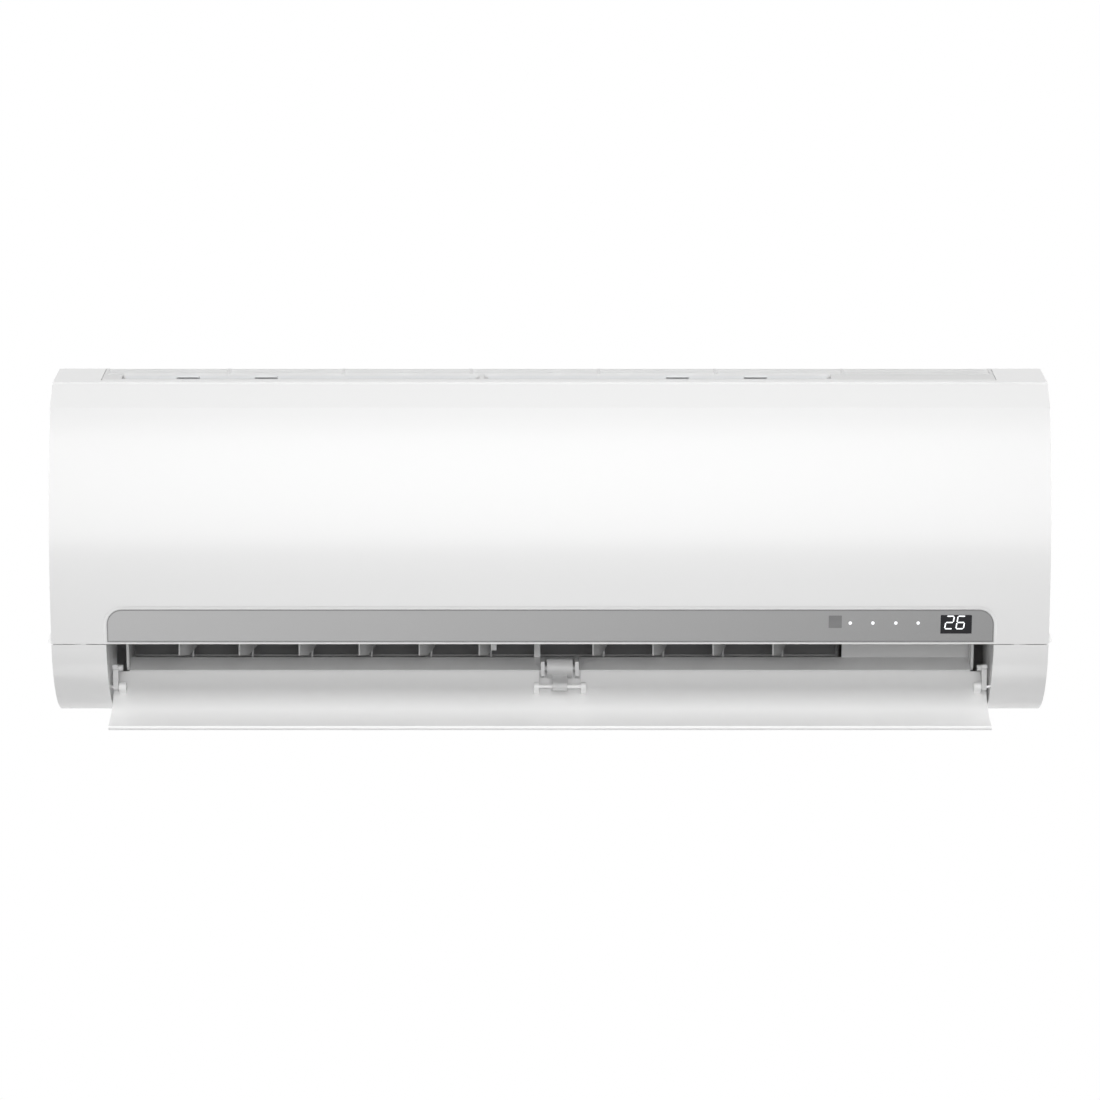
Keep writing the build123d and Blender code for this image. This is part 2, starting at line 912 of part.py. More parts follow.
with BuildPart() as display_board:
    box(
        receiver_left - 8,
        window_right + 8,
        board_depth,
        board_depth + board_thick,
        window_base - 4,
        window_top + 4,
    )
    box(
        receiver_left + 1,
        receiver_right - 1,
        board_depth + board_thick,
        board_depth + 5,
        receiver_base + 1,
        receiver_top - 1,
    )
    # two posts glued to the panel's back hold the board
    for post_x in (receiver_left - 5, window_right + 5):
        box(post_x - 2, post_x + 2, board_depth + board_thick, unit_depth, window_top - 4, window_top)
    extrude(body_outline(half_width, skin), amount=unit_width, mode=Mode.INTERSECT)
keep(display_board.part, "display_board")

# ---- Drain pan: trough under the front coil, whose underside is the roof of the air outlet ----

with BuildPart() as drain_pan:
    across(
        [
            (126.5, 87.0),
            (129.2, 87.0),
            (pan_back, pan_floor),
            (157.0, pan_floor - 1.5),
            (pan_front - 2.2, pan_rim),
            (pan_front, pan_rim),
            (pan_front, foot_height + 3.6),
            (168.0, foot_height + 3.6),
            (168.0, foot_height + 1.2),
            (150.0, 58.5),
            (132.0, 66.0),
            (125.5, 78.0),
        ],
        bay_x - 0.4,
        duct_left,
    )
    for wall_left in (duct_left, bay_x - 0.4 - 2.0):
        across(
            [(pan_back, pan_floor - 1), (157.0, pan_floor - 2), (pan_front - 1, pan_rim), (129.5, pan_rim)],
            wall_left + 2.0,
            wall_left,
        )
    # lip over the blanked end of the outlet
    across(
        [
            (pan_front, foot_height + 3.6),
            (168.0, foot_height + 3.6),
            (168.0, foot_height + 1.2),
            (150.0, 58.5),
            (132.0, 66.0),
            (135.0, 67.0),
            (151.0, 61.0),
        ],
        deck_half,
        bay_x - 0.4,
    )
    rod(spigot_depth, spigot_height, spigot_radius, duct_left, duct_left - spigot_length)
    rod(spigot_depth, spigot_height, spigot_radius, bay_x - 0.4 + spigot_length, bay_x - 0.4)
    rod(spigot_depth, spigot_height, spigot_bore, duct_left + 3, duct_left - spigot_length - 1, Mode.SUBTRACT)
    rod(
        spigot_depth,
        spigot_height,
        spigot_bore,
        bay_x + spigot_length,
        bay_x - 3,
        Mode.SUBTRACT,
    )
    with BuildSketch(front_view(pan_front - 5)) as pan_screw_holes:
        with Locations(*screw_places):
            Circle(screw_radius + 0.1)
    extrude(pan_screw_holes.sketch, amount=10, mode=Mode.SUBTRACT)

keep(drain_pan.part, "drain_pan")

with BuildPart() as drain_plug:
    plug_right = duct_left - spigot_length
    rod(spigot_depth, spigot_height, spigot_bore - 0.1, plug_right + 12, plug_right)
    rod(spigot_depth, spigot_height, spigot_radius, plug_right, plug_right - 3)
    rod(spigot_depth, spigot_height, 3.0, plug_right - 3, plug_right - 10)

keep(drain_plug.part, "drain_plug")

with BuildPart() as casing_screws:
    for screw_place in screw_places:
        with BuildSketch(front_view(frame_depth)) as screw_head:
            with Locations(screw_place):
                Circle(2 * screw_radius)
        extrude(screw_head.sketch, amount=2.2)
        with BuildSketch(front_view(frame_depth)) as screw_shank:
            with Locations(screw_place):
                Circle(screw_radius)
        extrude(screw_shank.sketch, amount=-6.0)
        with BuildSketch(front_view(frame_depth + 1.0)) as cross_slot:
            with Locations(screw_place):
                Rectangle(4.4, 0.9)
                Rectangle(0.9, 4.4)
        extrude(cross_slot.sketch, amount=2.0, mode=Mode.SUBTRACT)

keep(casing_screws.part, "casing_screws")

# ---- Air outlet duct: shelf under the vanes, sloping deck, side walls and the blanked right end ----

vane_places = [vane_first + vane_pitch * step for step in range(left_vanes)]
vane_places += [right_first + vane_pitch * step for step in range(right_vanes)]
shelf_under = shelf_height - skin

with BuildPart() as outlet_duct:
    across(
        [
            (73.0, shelf_under),
            (73.0, shelf_height),
            (crest_depth, shelf_height),
            (deck_front, deck_low),
            (deck_front, chassis_low + chassis_wall + 0.5),
            (deck_front - skin, chassis_low + chassis_wall + 0.5),
            (deck_front - skin, deck_low - 1),
            (crest_depth - 1.5, shelf_under),
        ],
        deck_half,
        -deck_half,
    )
    # side walls of the outlet
    for wall_left in (-deck_half - 2.0, deck_half):
        across(
            [
                (76.0, shelf_under),
                (crest_depth - 1, shelf_under),
                (deck_front - 1, deck_low),
                (deck_front + 2, deck_low + 2),
                (deck_front + 10, foot_height + 6),
                (131.0, 65.2),
                (126.0, 72.0),
                (76.0, 52.0),
            ],
            wall_left + 2.0,
            wall_left,
        )
    # room for the motor cradle behind the blanked right end
    box(bay_x, deck_half - 1, 70.0, 97.2, shelf_under - 1, shelf_height + 1, Mode.SUBTRACT)
    # blanked right end
    across(
        [
            (crest_depth - 2, shelf_height - 1),
            (crest_depth, shelf_height - 1),
            (crest_depth + 7, shelf_height + 29),
            (crest_depth + 4.5, shelf_height + 29),
        ],
        deck_half + 1,
        blank_left,
    )
    # centre post on the crest, tapering down the deck
    across(
        [
            (crest_depth - 6, shelf_height - 1),
            (crest_depth - 0.5, shelf_height - 1),
            (crest_depth + 6.5, shelf_height - 5),
            (crest_depth + 8, shelf_height - 5),
            (crest_depth + 2.5, shelf_height),
            (crest_depth + 2.5, shelf_height + 20),
            (crest_depth - 6, shelf_height + 20),
        ],
        post_right,
        post_left,
    )
    # bearing holes for the vanes
    with BuildSketch(level(shelf_under - 1)) as vane_holes:
        with Locations(*[(vane_x, -vane_pivot_depth) for vane_x in vane_places]):
            Circle(vane_pin_radius + running_gap)
    extrude(vane_holes.sketch, amount=skin + 2, mode=Mode.SUBTRACT)

keep(outlet_duct.part, "outlet_duct")

# ---- Horizontal flap: one curved blade on hinge lugs, an arm at each end, and a centre support ----


def hinge_plane(x, turn):
    """Section plane on the flap's hinge line, turned down from the closed position by an angle."""
    return Plane(
        origin=spot(x, flap_hinge_depth, flap_hinge_height),
        x_dir=(0, -cos(radians(turn)), -sin(radians(turn))),
        z_dir=(-1, 0, 0),
    )


chin_centre = (chin_centre_depth - flap_hinge_depth, chin_radius - flap_hinge_height)


def on_chin(turn, reach):
    """Point of the closed flap at a distance from the chin's centre, turned down from straight ahead."""
    return (chin_centre[0] + reach * cos(radians(turn)), chin_centre[1] - reach * sin(radians(turn)))


with BuildPart() as flap:
    with BuildSketch(hinge_plane(flap_half, flap_opening)) as blade_section:
        with BuildLine():
            blade_turn = flap_root_angle - flap_tip_angle
            outer_face = CenterArc(chin_centre, chin_radius, -flap_root_angle, blade_turn)
            inner_face = CenterArc(chin_centre, chin_radius - flap_thick, -flap_root_angle, blade_turn)
            Line(outer_face @ 0, inner_face @ 0)
            ThreePointArc(
                outer_face @ 1,
                ((outer_face @ 1) + (inner_face @ 1)) / 2 + (outer_face % 1) * flap_thick / 3,
                inner_face @ 1,
            )
        make_face()
    extrude(blade_section.sketch, amount=2 * flap_half)
    # notch in the root, which clears the centre support
    notch_left, notch_right = centre_lugs[0][1], centre_lugs[1][0]
    with BuildSketch(hinge_plane(notch_right, flap_opening)) as root_notch:
        with BuildLine():
            Polyline(
                on_chin(root_notch_angle, chin_radius - 2 * flap_thick),
                on_chin(root_notch_angle, chin_radius + flap_thick),
                on_chin(flap_root_angle + 5, chin_radius + flap_thick),
                on_chin(flap_root_angle + 5, chin_radius - 2 * flap_thick),
                close=True,
            )
        make_face()
    extrude(root_notch.sketch, amount=notch_right - notch_left, mode=Mode.SUBTRACT)
    # hinge lugs: one beside each end arm, and one on each side of the centre support
    end_lug = arm_inner - 0.3 - lug_length
    for lug_left, lug_right in (
        (-end_lug - lug_length, -end_lug),
        *centre_lugs,
        (end_lug, end_lug + lug_length),
    ):
        with BuildSketch(hinge_plane(lug_right, flap_opening)) as lug:
            Circle(lug_radius)
            web_middle = Vector(lug_reach / 2, 0).rotate(Axis.Z, -hinge_angle)
            with Locations(web_middle):
                Rectangle(lug_reach, 2 * lug_radius - 0.4, rotation=-hinge_angle)
        extrude(lug.sketch, amount=lug_right - lug_left)
    # pin between the centre lugs, and bores for the stubs of the end arms
    rod(flap_hinge_depth, flap_hinge_height, flap_pin_radius, centre_lugs[1][1], centre_lugs[0][0])
    for side in (-1, 1):
        bore_edges = sorted((side * (end_lug - 0.5), side * flap_half))
        rod(flap_hinge_depth, flap_hinge_height, flap_pin_radius, bore_edges[1], bore_edges[0], Mode.SUBTRACT)

keep(flap.part, "flap")

for place, side in (("left", -1), ("right", 1)):
    arm_edges = sorted((side * arm_inner, side * (arm_inner + arm_thick)))
    with BuildPart() as flap_arm:
        rod(flap_hinge_depth, flap_hinge_height, lug_radius, arm_edges[1], arm_edges[0])
        # upright leg with a hooked head
        across(
            [
                (flap_hinge_depth - 2.5, flap_hinge_height),
                (flap_hinge_depth + 3.5, flap_hinge_height),
                (flap_hinge_depth + arm_width, flap_hinge_height + 6.0),
                (flap_hinge_depth + arm_width, arm_top),
                (flap_hinge_depth + arm_width + 3.0, arm_top + 1.5),
                (flap_hinge_depth + arm_width + 3.0, arm_top + 4.0),
                (flap_hinge_depth, arm_top + 4.0),
                (flap_hinge_depth - 0.5, flap_hinge_height + 6.0),
            ],
            arm_edges[1],
            arm_edges[0],
        )
        # guide peg facing the middle, and the hinge stub that the blade is pressed on
        peg_edges = sorted((side * peg_inner, side * arm_inner))
        rod(flap_hinge_depth + peg_radius, peg_height, peg_radius, peg_edges[1], peg_edges[0])
        stub_edges = sorted((side * (arm_inner - lug_length), side * arm_inner))
        rod(flap_hinge_depth, flap_hinge_height, flap_pin_radius, stub_edges[1], stub_edges[0])
        if side < 0:
            pin_right = -arm_inner - arm_thick
            rod(flap_hinge_depth, flap_hinge_height, flap_pin_radius, pin_right, pin_right - 5.0)
        else:
            rod(
                flap_hinge_depth,
                flap_hinge_height,
                flap_pin_radius,
                arm_edges[1] + 1,
                arm_inner + 1.0,
                Mode.SUBTRACT,
            )
    keep(flap_arm.part, f"{place}_flap_arm")

with BuildPart() as centre_flap_support:
    # foot on the deck, and the link that ends in the eye round the flap's pin
    across(
        [
            (deck_front, deck_low),
            (crest_depth + 1, shelf_height - (shelf_height - deck_low) / (deck_front - crest_depth)),
            (crest_depth + 4.5, shelf_height),
            (deck_front + 3.0, deck_low + 4.5),
        ],
        drum_right + 5,
        drum_left - 5,
    )
    across(
        [
            (deck_front, deck_low - 2.0),
            (deck_front + 1.0, deck_low + 3.0),
            (flap_hinge_depth + 2.0, flap_hinge_height + 3.0),
            (flap_hinge_depth - 3.0, flap_hinge_height + 1.0),
        ],
        eye_right,
        eye_left,
    )
    rod(flap_hinge_depth, flap_hinge_height, eye_radius, eye_right, eye_left)
    rod(
        flap_hinge_depth,
        flap_hinge_height,
        flap_pin_radius + running_gap,
        eye_right + 1,
        eye_left - 1,
        Mode.SUBTRACT,
    )
    # round damper drum between two uprights
    rod(drum_depth, drum_height, drum_radius, drum_right, drum_left)
    for upright_left in (drum_left - 5.0, drum_right + 2.0):
        across(
            [
                (crest_depth + 6.0, shelf_height - 3.0),
                (crest_depth + 12.0, shelf_height + 1.0),
                (drum_depth + drum_radius, shelf_height - 3.0),
                (drum_depth + drum_radius, drum_height - 6.0),
                (drum_depth - 2.0, drum_height - drum_radius),
                (deck_front, deck_low - 1.0),
            ],
            upright_left + 3.0,
            upright_left,
        )
    rod(drum_depth, drum_height, 2.5, drum_right + 5.0, drum_left - 5.0)
    # cut what would reach into the deck
    across(
        [
            (crest_depth - 10, shelf_height - 15),
            (crest_depth, shelf_height),
            (deck_front, deck_low),
            (deck_front, 0.0),
            (crest_depth - 10, 0.0),
        ],
        100,
        -100,
        Mode.SUBTRACT,
    )

keep(centre_flap_support.part, "centre_flap_support")

with BuildPart() as flap_motor:
    motor_face = mouth_half + cap_wall + 0.6
    rod(
        flap_hinge_depth - step_back,
        flap_hinge_height + step_rise,
        step_radius,
        motor_face + step_length,
        motor_face,
    )
    # two fixing ears and the lead box
    box(
        motor_face,
        motor_face + 1.2,
        flap_hinge_depth - step_back - 17.0,
        flap_hinge_depth - step_back + 17.0,
        flap_hinge_height + step_rise + 4.0,
        flap_hinge_height + step_rise + 10.0,
    )
    box(
        motor_face + 2,
        motor_face + step_length - 2,
        flap_hinge_depth - step_back - 15.0,
        flap_hinge_depth - step_back - 8.0,
        flap_hinge_height + step_rise - 6.0,
        flap_hinge_height + step_rise + 6.0,
    )
    rod(
        flap_hinge_depth,
        flap_hinge_height,
        flap_pin_radius + running_gap,
        motor_face + 9.0,
        motor_face - 1,
        Mode.SUBTRACT,
    )

keep(flap_motor.part, "flap_motor")

with BuildPart() as flap_motor_shaft:
    rod(flap_hinge_depth, flap_hinge_height, flap_pin_radius, motor_face + 8.5, arm_inner + 1.0)

keep(flap_motor_shaft.part, "flap_motor_shaft")

# ---- Guide vanes: upright blades on pins in the shelf, joined in two groups by link bars ----


def vane_plane(x, height):
    """Flat plane on a vane's pivot; its second axis runs from the pivot to the blade's front edge."""
    return Plane(
        origin=spot(x, vane_pivot_depth, height),
        x_dir=(-cos(radians(vane_turn)), sin(radians(vane_turn)), 0),
        z_dir=(0, 0, 1),
    )


def vane_side(x):
    """Upright plane through a vane's blade: first axis forward from the pivot, second up from its base."""
    return Plane(
        origin=spot(x, vane_pivot_depth, vane_base),
        x_dir=(-sin(radians(vane_turn)), -cos(radians(vane_turn)), 0),
        z_dir=(-cos(radians(vane_turn)), sin(radians(vane_turn)), 0),
    )


for count, vane_x in enumerate(vane_places, start=1):
    with BuildPart() as guide_vane:
        with BuildSketch(vane_plane(vane_x, vane_base)) as blade_plan:
            with Locations((0, (vane_fore - vane_rear) / 2)):
                SlotOverall(vane_fore + vane_rear, vane_thick, rotation=90)
        extrude(blade_plan.sketch, amount=vane_top - vane_base)
        # the lower rear corner is cut back on a slant
        with BuildSketch(vane_side(vane_x)) as corner:
            with BuildLine():
                Polyline(
                    (vane_cut_fore, 0),
                    (vane_cut_fore, -1),
                    (-vane_rear - 1, -1),
                    (-vane_rear - 1, vane_cut_rise),
                    close=True,
                )
            make_face()
        extrude(corner.sketch, amount=vane_thick, both=True, mode=Mode.SUBTRACT)
        with BuildSketch(vane_plane(vane_x, shelf_under - 1)) as pin_plan:
            Circle(vane_pin_radius)
        extrude(pin_plan.sketch, amount=vane_base + vane_cut_rise - shelf_under + 1)
        with BuildSketch(vane_plane(vane_x, vane_top)) as peg_plan:
            with Locations((0, peg_arm)):
                Circle(vane_peg_radius)
        extrude(peg_plan.sketch, amount=link_low - vane_top + link_thick + 1.2)
    keep(guide_vane.part, f"guide_vane_{count:02d}")

peg_x = -peg_arm * sin(radians(vane_turn))
peg_near = peg_arm * cos(radians(52.0 - vane_turn))
peg_far = peg_arm
slot_centre = vane_pivot_depth + (peg_near + peg_far) / 2
slot_length = peg_far - peg_near + 2 * (vane_peg_radius + link_play)
vane_groups = (("left", vane_places[:left_vanes]), ("right", vane_places[left_vanes:]))
for place, group in vane_groups:
    with BuildPart() as vane_link:
        link_left = group[0] + peg_x - 6.0
        link_right = group[-1] + peg_x + 6.0
        box(
            link_left,
            link_right,
            slot_centre - link_width / 2,
            slot_centre + link_width / 2,
            link_low,
            link_low + link_thick,
        )
        with BuildSketch(level(link_low - 1)) as peg_slots:
            with Locations(*[(vane_x + peg_x, -slot_centre) for vane_x in group]):
                SlotOverall(slot_length, 2 * (vane_peg_radius + link_play), rotation=90)
        extrude(peg_slots.sketch, amount=link_thick + 2, mode=Mode.SUBTRACT)
        if place == "left":
            # finger tab for setting the vanes by hand
            box(
                tab_x - tab_width / 2,
                tab_x + tab_width / 2,
                slot_centre + link_width / 2 - 1,
                slot_centre + link_width / 2 + 1.4,
                tab_low,
                link_low + link_thick,
            )
    keep(vane_link.part, f"{place}_vane_link")

# ---- Cross-flow fan: curved blades between discs, on a stub shaft and on the motor's shaft ----

with BuildSketch() as fan_blade:
    with BuildLine():
        inner_point = (blade_inner, 0.0)
        outer_point = (fan_radius - 0.5, blade_lean)
        concave = ThreePointArc(inner_point, (blade_inner + 5.1, 1.0), outer_point)
        convex = ThreePointArc(
            (blade_inner, blade_thick),
            (blade_inner + 4.5, 1.0 + blade_thick),
            (fan_radius - 1.3, blade_lean + blade_thick / 2),
        )
        Line(concave @ 0, convex @ 0)
        Line(concave @ 1, convex @ 1)
    make_face()

fan_plane = Plane(origin=spot(fan_right, fan_depth, fan_height), x_dir=(0, -1, 0), z_dir=(-1, 0, 0))
fan_length = fan_right - fan_left
with BuildPart() as cross_flow_fan:
    with BuildSketch(fan_plane) as blade_ring:
        with PolarLocations(0, blade_count):
            add(fan_blade.sketch)
    extrude(blade_ring.sketch, amount=fan_length)
    for disc in range(fan_segments + 1):
        disc_right = fan_left + disc_thick + disc * (fan_length - disc_thick) / fan_segments
        rod(fan_depth, fan_height, fan_radius, disc_right, disc_right - disc_thick)
    rod(fan_depth, fan_height, hub_radius, fan_right, fan_right - 14)
    rod(fan_depth, fan_height, hub_radius, fan_left + 10, fan_left)
    for disc in range(1, fan_segments):
        disc_right = fan_left + disc_thick + disc * (fan_length - disc_thick) / fan_segments
        disc_bore = blade_inner - 1
        rod(fan_depth, fan_height, disc_bore, disc_right + 1, disc_right - disc_thick - 1, Mode.SUBTRACT)
    rod(fan_depth, fan_height, shaft_radius, fan_right + 1, fan_right - 15, Mode.SUBTRACT)
    rod(fan_depth, fan_height, shaft_radius, fan_left + 11, fan_left - 1, Mode.SUBTRACT)

keep(cross_flow_fan.part, "cross_flow_fan")

bearing_right = left_plate_x + chassis_wall + bearing_length
with BuildPart() as fan_stub_shaft:
    rod(fan_depth, fan_height, shaft_radius, fan_left + 10, left_plate_x + chassis_wall)
keep(fan_stub_shaft.part, "fan_stub_shaft")

with BuildPart() as fan_bearing:
    rod(fan_depth, fan_height, bearing_radius, bearing_right, left_plate_x + chassis_wall)
    rod(fan_depth, fan_height, shaft_radius + running_gap, bearing_right + 1, left_plate_x, Mode.SUBTRACT)
keep(fan_bearing.part, "fan_bearing")

with BuildPart() as bearing_holder:
    rod(fan_depth, fan_height, neck_radius - 0.05, bearing_right, left_plate_x)
    rod(fan_depth, fan_height, neck_radius + 3, bearing_right, left_plate_x + chassis_wall + 0.05)
    rod(fan_depth, fan_height, bearing_radius, bearing_right + 1, left_plate_x + chassis_wall, Mode.SUBTRACT)
keep(bearing_holder.part, "bearing_holder")

# ---- Fan motor in two rubber rings, held down by a cover ----

with BuildPart() as fan_motor:
    rod(fan_depth, fan_height, motor_radius, motor_right, motor_left)
    fillet(fan_motor.edges().filter_by(GeomType.CIRCLE), 5.0)
    rod(fan_depth, fan_height, neck_radius, motor_right + neck_length, motor_left - neck_length)
    box(motor_left + 10, motor_right - 10, fan_depth - 12, fan_depth + 12, fan_height + 38, fan_height + 48)
    rod(
        fan_depth,
        fan_height,
        shaft_radius + running_gap,
        motor_right - 6,
        motor_left - neck_length - 1,
        Mode.SUBTRACT,
    )
keep(fan_motor.part, "fan_motor")

with BuildPart() as motor_shaft:
    rod(fan_depth, fan_height, shaft_radius, motor_right - 8, fan_right - 14)
keep(motor_shaft.part, "motor_shaft")

with BuildPart() as motor_rubber_rings:
    for ring_left in ring_lefts:
        rod(fan_depth, fan_height, ring_radius, ring_left + ring_length, ring_left)
        rod(fan_depth, fan_height, neck_radius, ring_left + ring_length + 1, ring_left - 1, Mode.SUBTRACT)
keep(motor_rubber_rings.part, "motor_rubber_rings")

with BuildPart() as motor_cover:
    for ring_left in ring_lefts:
        box(
            ring_left,
            ring_left + ring_length,
            fan_depth - cradle_half,
            fan_depth + cradle_half,
            fan_height + 0.1,
            fan_height + ring_radius + 4,
        )
    box(
        motor_left - neck_length + 0.5,
        motor_right + neck_length - 1,
        fan_depth - cradle_half,
        fan_depth - 14.5,
        fan_height + ring_radius + 2,
        fan_height + cover_rise,
    )
    box(
        motor_left - neck_length + 0.5,
        motor_right + neck_length - 1,
        fan_depth - cradle_half,
        fan_depth + cradle_half,
        fan_height + cover_rise - 3.0,
        fan_height + cover_rise,
    )
    for ring_left in ring_lefts:
        box(
            ring_left,
            ring_left + ring_length,
            fan_depth - cradle_half,
            fan_depth + cradle_half,
            fan_height + ring_radius,
            fan_height + cover_rise,
        )
    rod(fan_depth, fan_height, ring_radius, motor_right + 20, motor_left - 20, Mode.SUBTRACT)
    rod(fan_depth, fan_height, motor_radius + 1, motor_right + 1, motor_left - 1, Mode.SUBTRACT)
keep(motor_cover.part, "motor_cover")

# ---- Evaporator: three finned slabs over the fan, end sheets, return bends and two pipe stubs ----


def slab_corners(axis_ends, grow=0.0):
    """Corners of a slab along an axis, as deep as the coil, grown all round where asked."""
    (depth_a, height_a), (depth_b, height_b) = axis_ends
    length = hypot(depth_b - depth_a, height_b - height_a)
    along = ((depth_b - depth_a) / length, (height_b - height_a) / length)
    square = (-along[1], along[0])
    half = coil_thick / 2 + grow
    corners = []
    for end, lead, side in ((0, -grow, -1), (1, grow, -1), (1, grow, 1), (0, -grow, 1)):
        depth, height = axis_ends[end]
        corner_depth = depth + along[0] * lead + square[0] * half * side
        corner_height = height + along[1] * lead + square[1] * half * side
        corners.append((corner_depth, corner_height))
    return corners


coils = (("evaporator_front", front_coil), ("evaporator_top", top_coil), ("evaporator_rear", rear_coil))
for coil_name, axis_ends in coils:
    with BuildPart() as coil:
        across(slab_corners(axis_ends), coil_right, coil_left)
    keep(coil.part, coil_name)

with BuildPart() as tube_sheets:
    for sheet_left in (coil_left - sheet_thick, coil_right):
        for _, axis_ends in coils:
            across(slab_corners(axis_ends), sheet_left + sheet_thick, sheet_left)
        # tie between the slabs, resting on the chassis
        across(
            [(62.0, 156.2), (72.0, 156.2), (72.0, 190.0), (100.0, 222.0), (84.0, 236.0), (46.0, 180.0)],
            sheet_left + sheet_thick,
            sheet_left,
        )
        across(
            [(136.0, 172.0), (152.0, 178.0), (146.0, 196.0), (136.0, 200.0)],
            sheet_left + sheet_thick,
            sheet_left,
        )
keep(tube_sheets.part, "tube_sheets")

with BuildPart() as return_bends:
    for coil_name, axis_ends in coils:
        (depth_a, height_a), (depth_b, height_b) = axis_ends
        length = hypot(depth_b - depth_a, height_b - height_a)
        along = ((depth_b - depth_a) / length, (height_b - height_a) / length)
        bend_count = int((length - 6) // (2 * tube_pitch))
        start = (length - (2 * bend_count - 1) * tube_pitch) / 2
        for bend in range(bend_count):
            middle = start + tube_pitch * (2 * bend + 0.5)
            centre = spot(coil_left - sheet_thick, depth_a + along[0] * middle, height_a + along[1] * middle)
            bend_plane = Plane(
                origin=centre,
                x_dir=(0, -along[0], along[1]),
                z_dir=(0, -along[1], -along[0]),
            )
            with BuildLine(bend_plane) as bend_path:
                CenterArc((0, 0), tube_pitch / 2, 0, 180)
            with BuildSketch(Plane(origin=bend_path.line @ 0, z_dir=bend_path.line % 0)) as bend_section:
                Circle(tube_radius)
            sweep(bend_section.sketch, path=bend_path.line)
keep(return_bends.part, "return_bends")


def pipe_along(points, radius, corner):
    """Thin-walled pipe along straight runs joined by round bends."""
    with BuildLine() as route:
        FilletPolyline(*points, radius=corner)
    start = Plane(origin=route.line @ 0, z_dir=route.line % 0)
    with BuildPart() as pipe:
        with BuildSketch(start) as pipe_section:
            Circle(radius)
            Circle(radius - pipe_wall, mode=Mode.SUBTRACT)
        sweep(pipe_section.sketch, path=route.line)
    return pipe.part


sheet_right = coil_right + sheet_thick
gas_route = (
    spot(pipe_end, gas_line_depth, gas_line_height),
    spot(gas_rise_x, gas_line_depth, gas_line_height),
    spot(gas_rise_x, gas_line_depth, 168.0),
    spot(gas_rise_x, 44.0, 188.0),
    spot(sheet_right, 44.0, 188.0),
)
liquid_route = (
    spot(pipe_end + nut_stagger, liquid_line_depth, liquid_line_height),
    spot(liquid_rise_x, liquid_line_depth, liquid_line_height),
    spot(liquid_rise_x, gas_line_depth, 56.0),
    spot(liquid_rise_x, gas_line_depth, 172.0),
    spot(liquid_rise_x, 60.0, 207.0),
    spot(sheet_right, 60.0, 207.0),
)
keep(pipe_along(gas_route, gas_radius, 12.0), "gas_pipe")
keep(pipe_along(liquid_route, liquid_radius, 10.0), "liquid_pipe")

with BuildPart() as flare_nuts:
    nuts = (
        (pipe_end, gas_line_depth, gas_line_height, gas_nut_flats, gas_nut_length, gas_radius),
        (
            pipe_end + nut_stagger,
            liquid_line_depth,
            liquid_line_height,
            liquid_nut_flats,
            liquid_nut_length,
            liquid_radius,
        ),
    )
    for nut_right, nut_depth, nut_height, flats, nut_length, pipe_radius in nuts:
        with BuildSketch(section_at(nut_right + 4.0)) as nut_section:
            with Locations((nut_depth, nut_height)):
                RegularPolygon(flats / 2, 6, major_radius=False)
                Circle(pipe_radius + 0.02, mode=Mode.SUBTRACT)
        extrude(nut_section.sketch, amount=nut_length)
        rod(nut_depth, nut_height, flats / 2 - 1.6, nut_right, nut_right - nut_length + 4.0, Mode.SUBTRACT)
keep(flare_nuts.part, "flare_nuts")

with BuildPart() as pipe_clamp:
    box(60.0, 72.0, 15.0, 57.0, chassis_low + chassis_wall + 0.01, gas_line_height + gas_radius + 5)
    rod(gas_line_depth, gas_line_height, gas_radius + 0.02, 73, 59, Mode.SUBTRACT)
    rod(liquid_line_depth, liquid_line_height, liquid_radius + 0.02, 73, 59, Mode.SUBTRACT)
keep(pipe_clamp.part, "pipe_clamp")

# ---- Electrical bay: box, cover, control board, terminal block and the emergency button ----

with BuildPart() as electrical_box:
    box(box_left, box_right, box_back, box_front, box_base, box_top)
    box(
        box_left + box_wall,
        box_right - box_wall,
        box_back + box_wall,
        box_front + 1,
        box_base + box_wall,
        box_top - box_wall,
        Mode.SUBTRACT,
    )
    # feet on the chassis wall and a gland for the mains lead
    for foot_base in (box_base + 20, box_top - 30):
        box(
            box_left + 20,
            box_right - 20,
            chassis_back + chassis_wall,
            box_back,
            foot_base,
            foot_base + 8,
        )
    with BuildSketch(level(box_base - 4)) as gland:
        with Locations((box_left + 26, -(box_back + 30))):
            Circle(9.0)
    extrude(gland.sketch, amount=4.0)
    with BuildSketch(level(box_base - 5)) as gland_bore:
        with Locations((box_left + 26, -(box_back + 30))):
            Circle(5.0)
    extrude(gland_bore.sketch, amount=9.0, mode=Mode.SUBTRACT)
keep(electrical_box.part, "electrical_box")

cover_back = box_front + 0.2
with BuildPart() as electrical_box_cover:
    box(box_left, box_right, cover_back, cover_back + box_wall, box_base, box_top)
    box(
        box_left + box_wall + 0.3,
        box_right - box_wall - 0.3,
        cover_back - 4.0,
        cover_back,
        box_base + box_wall + 0.3,
        box_base + box_wall + 2.3,
    )
    with BuildSketch(front_view(cover_back)) as button_tube:
        with Locations((button_x, button_height)):
            Circle(button_radius + 2.5)
    extrude(button_tube.sketch, amount=6.0)
    with BuildSketch(front_view(cover_back - 1)) as button_bore:
        with Locations((button_x, button_height)):
            Circle(button_radius + running_gap)
    extrude(button_bore.sketch, amount=9.0, mode=Mode.SUBTRACT)
    with BuildSketch(front_view(cover_back - 1)) as cover_vents:
        with Locations((button_x, button_height + 70)):
            with GridLocations(0, 6.0, 1, 6):
                Rectangle(36.0, 2.4)
    extrude(cover_vents.sketch, amount=5.0, mode=Mode.SUBTRACT)
keep(electrical_box_cover.part, "electrical_box_cover")

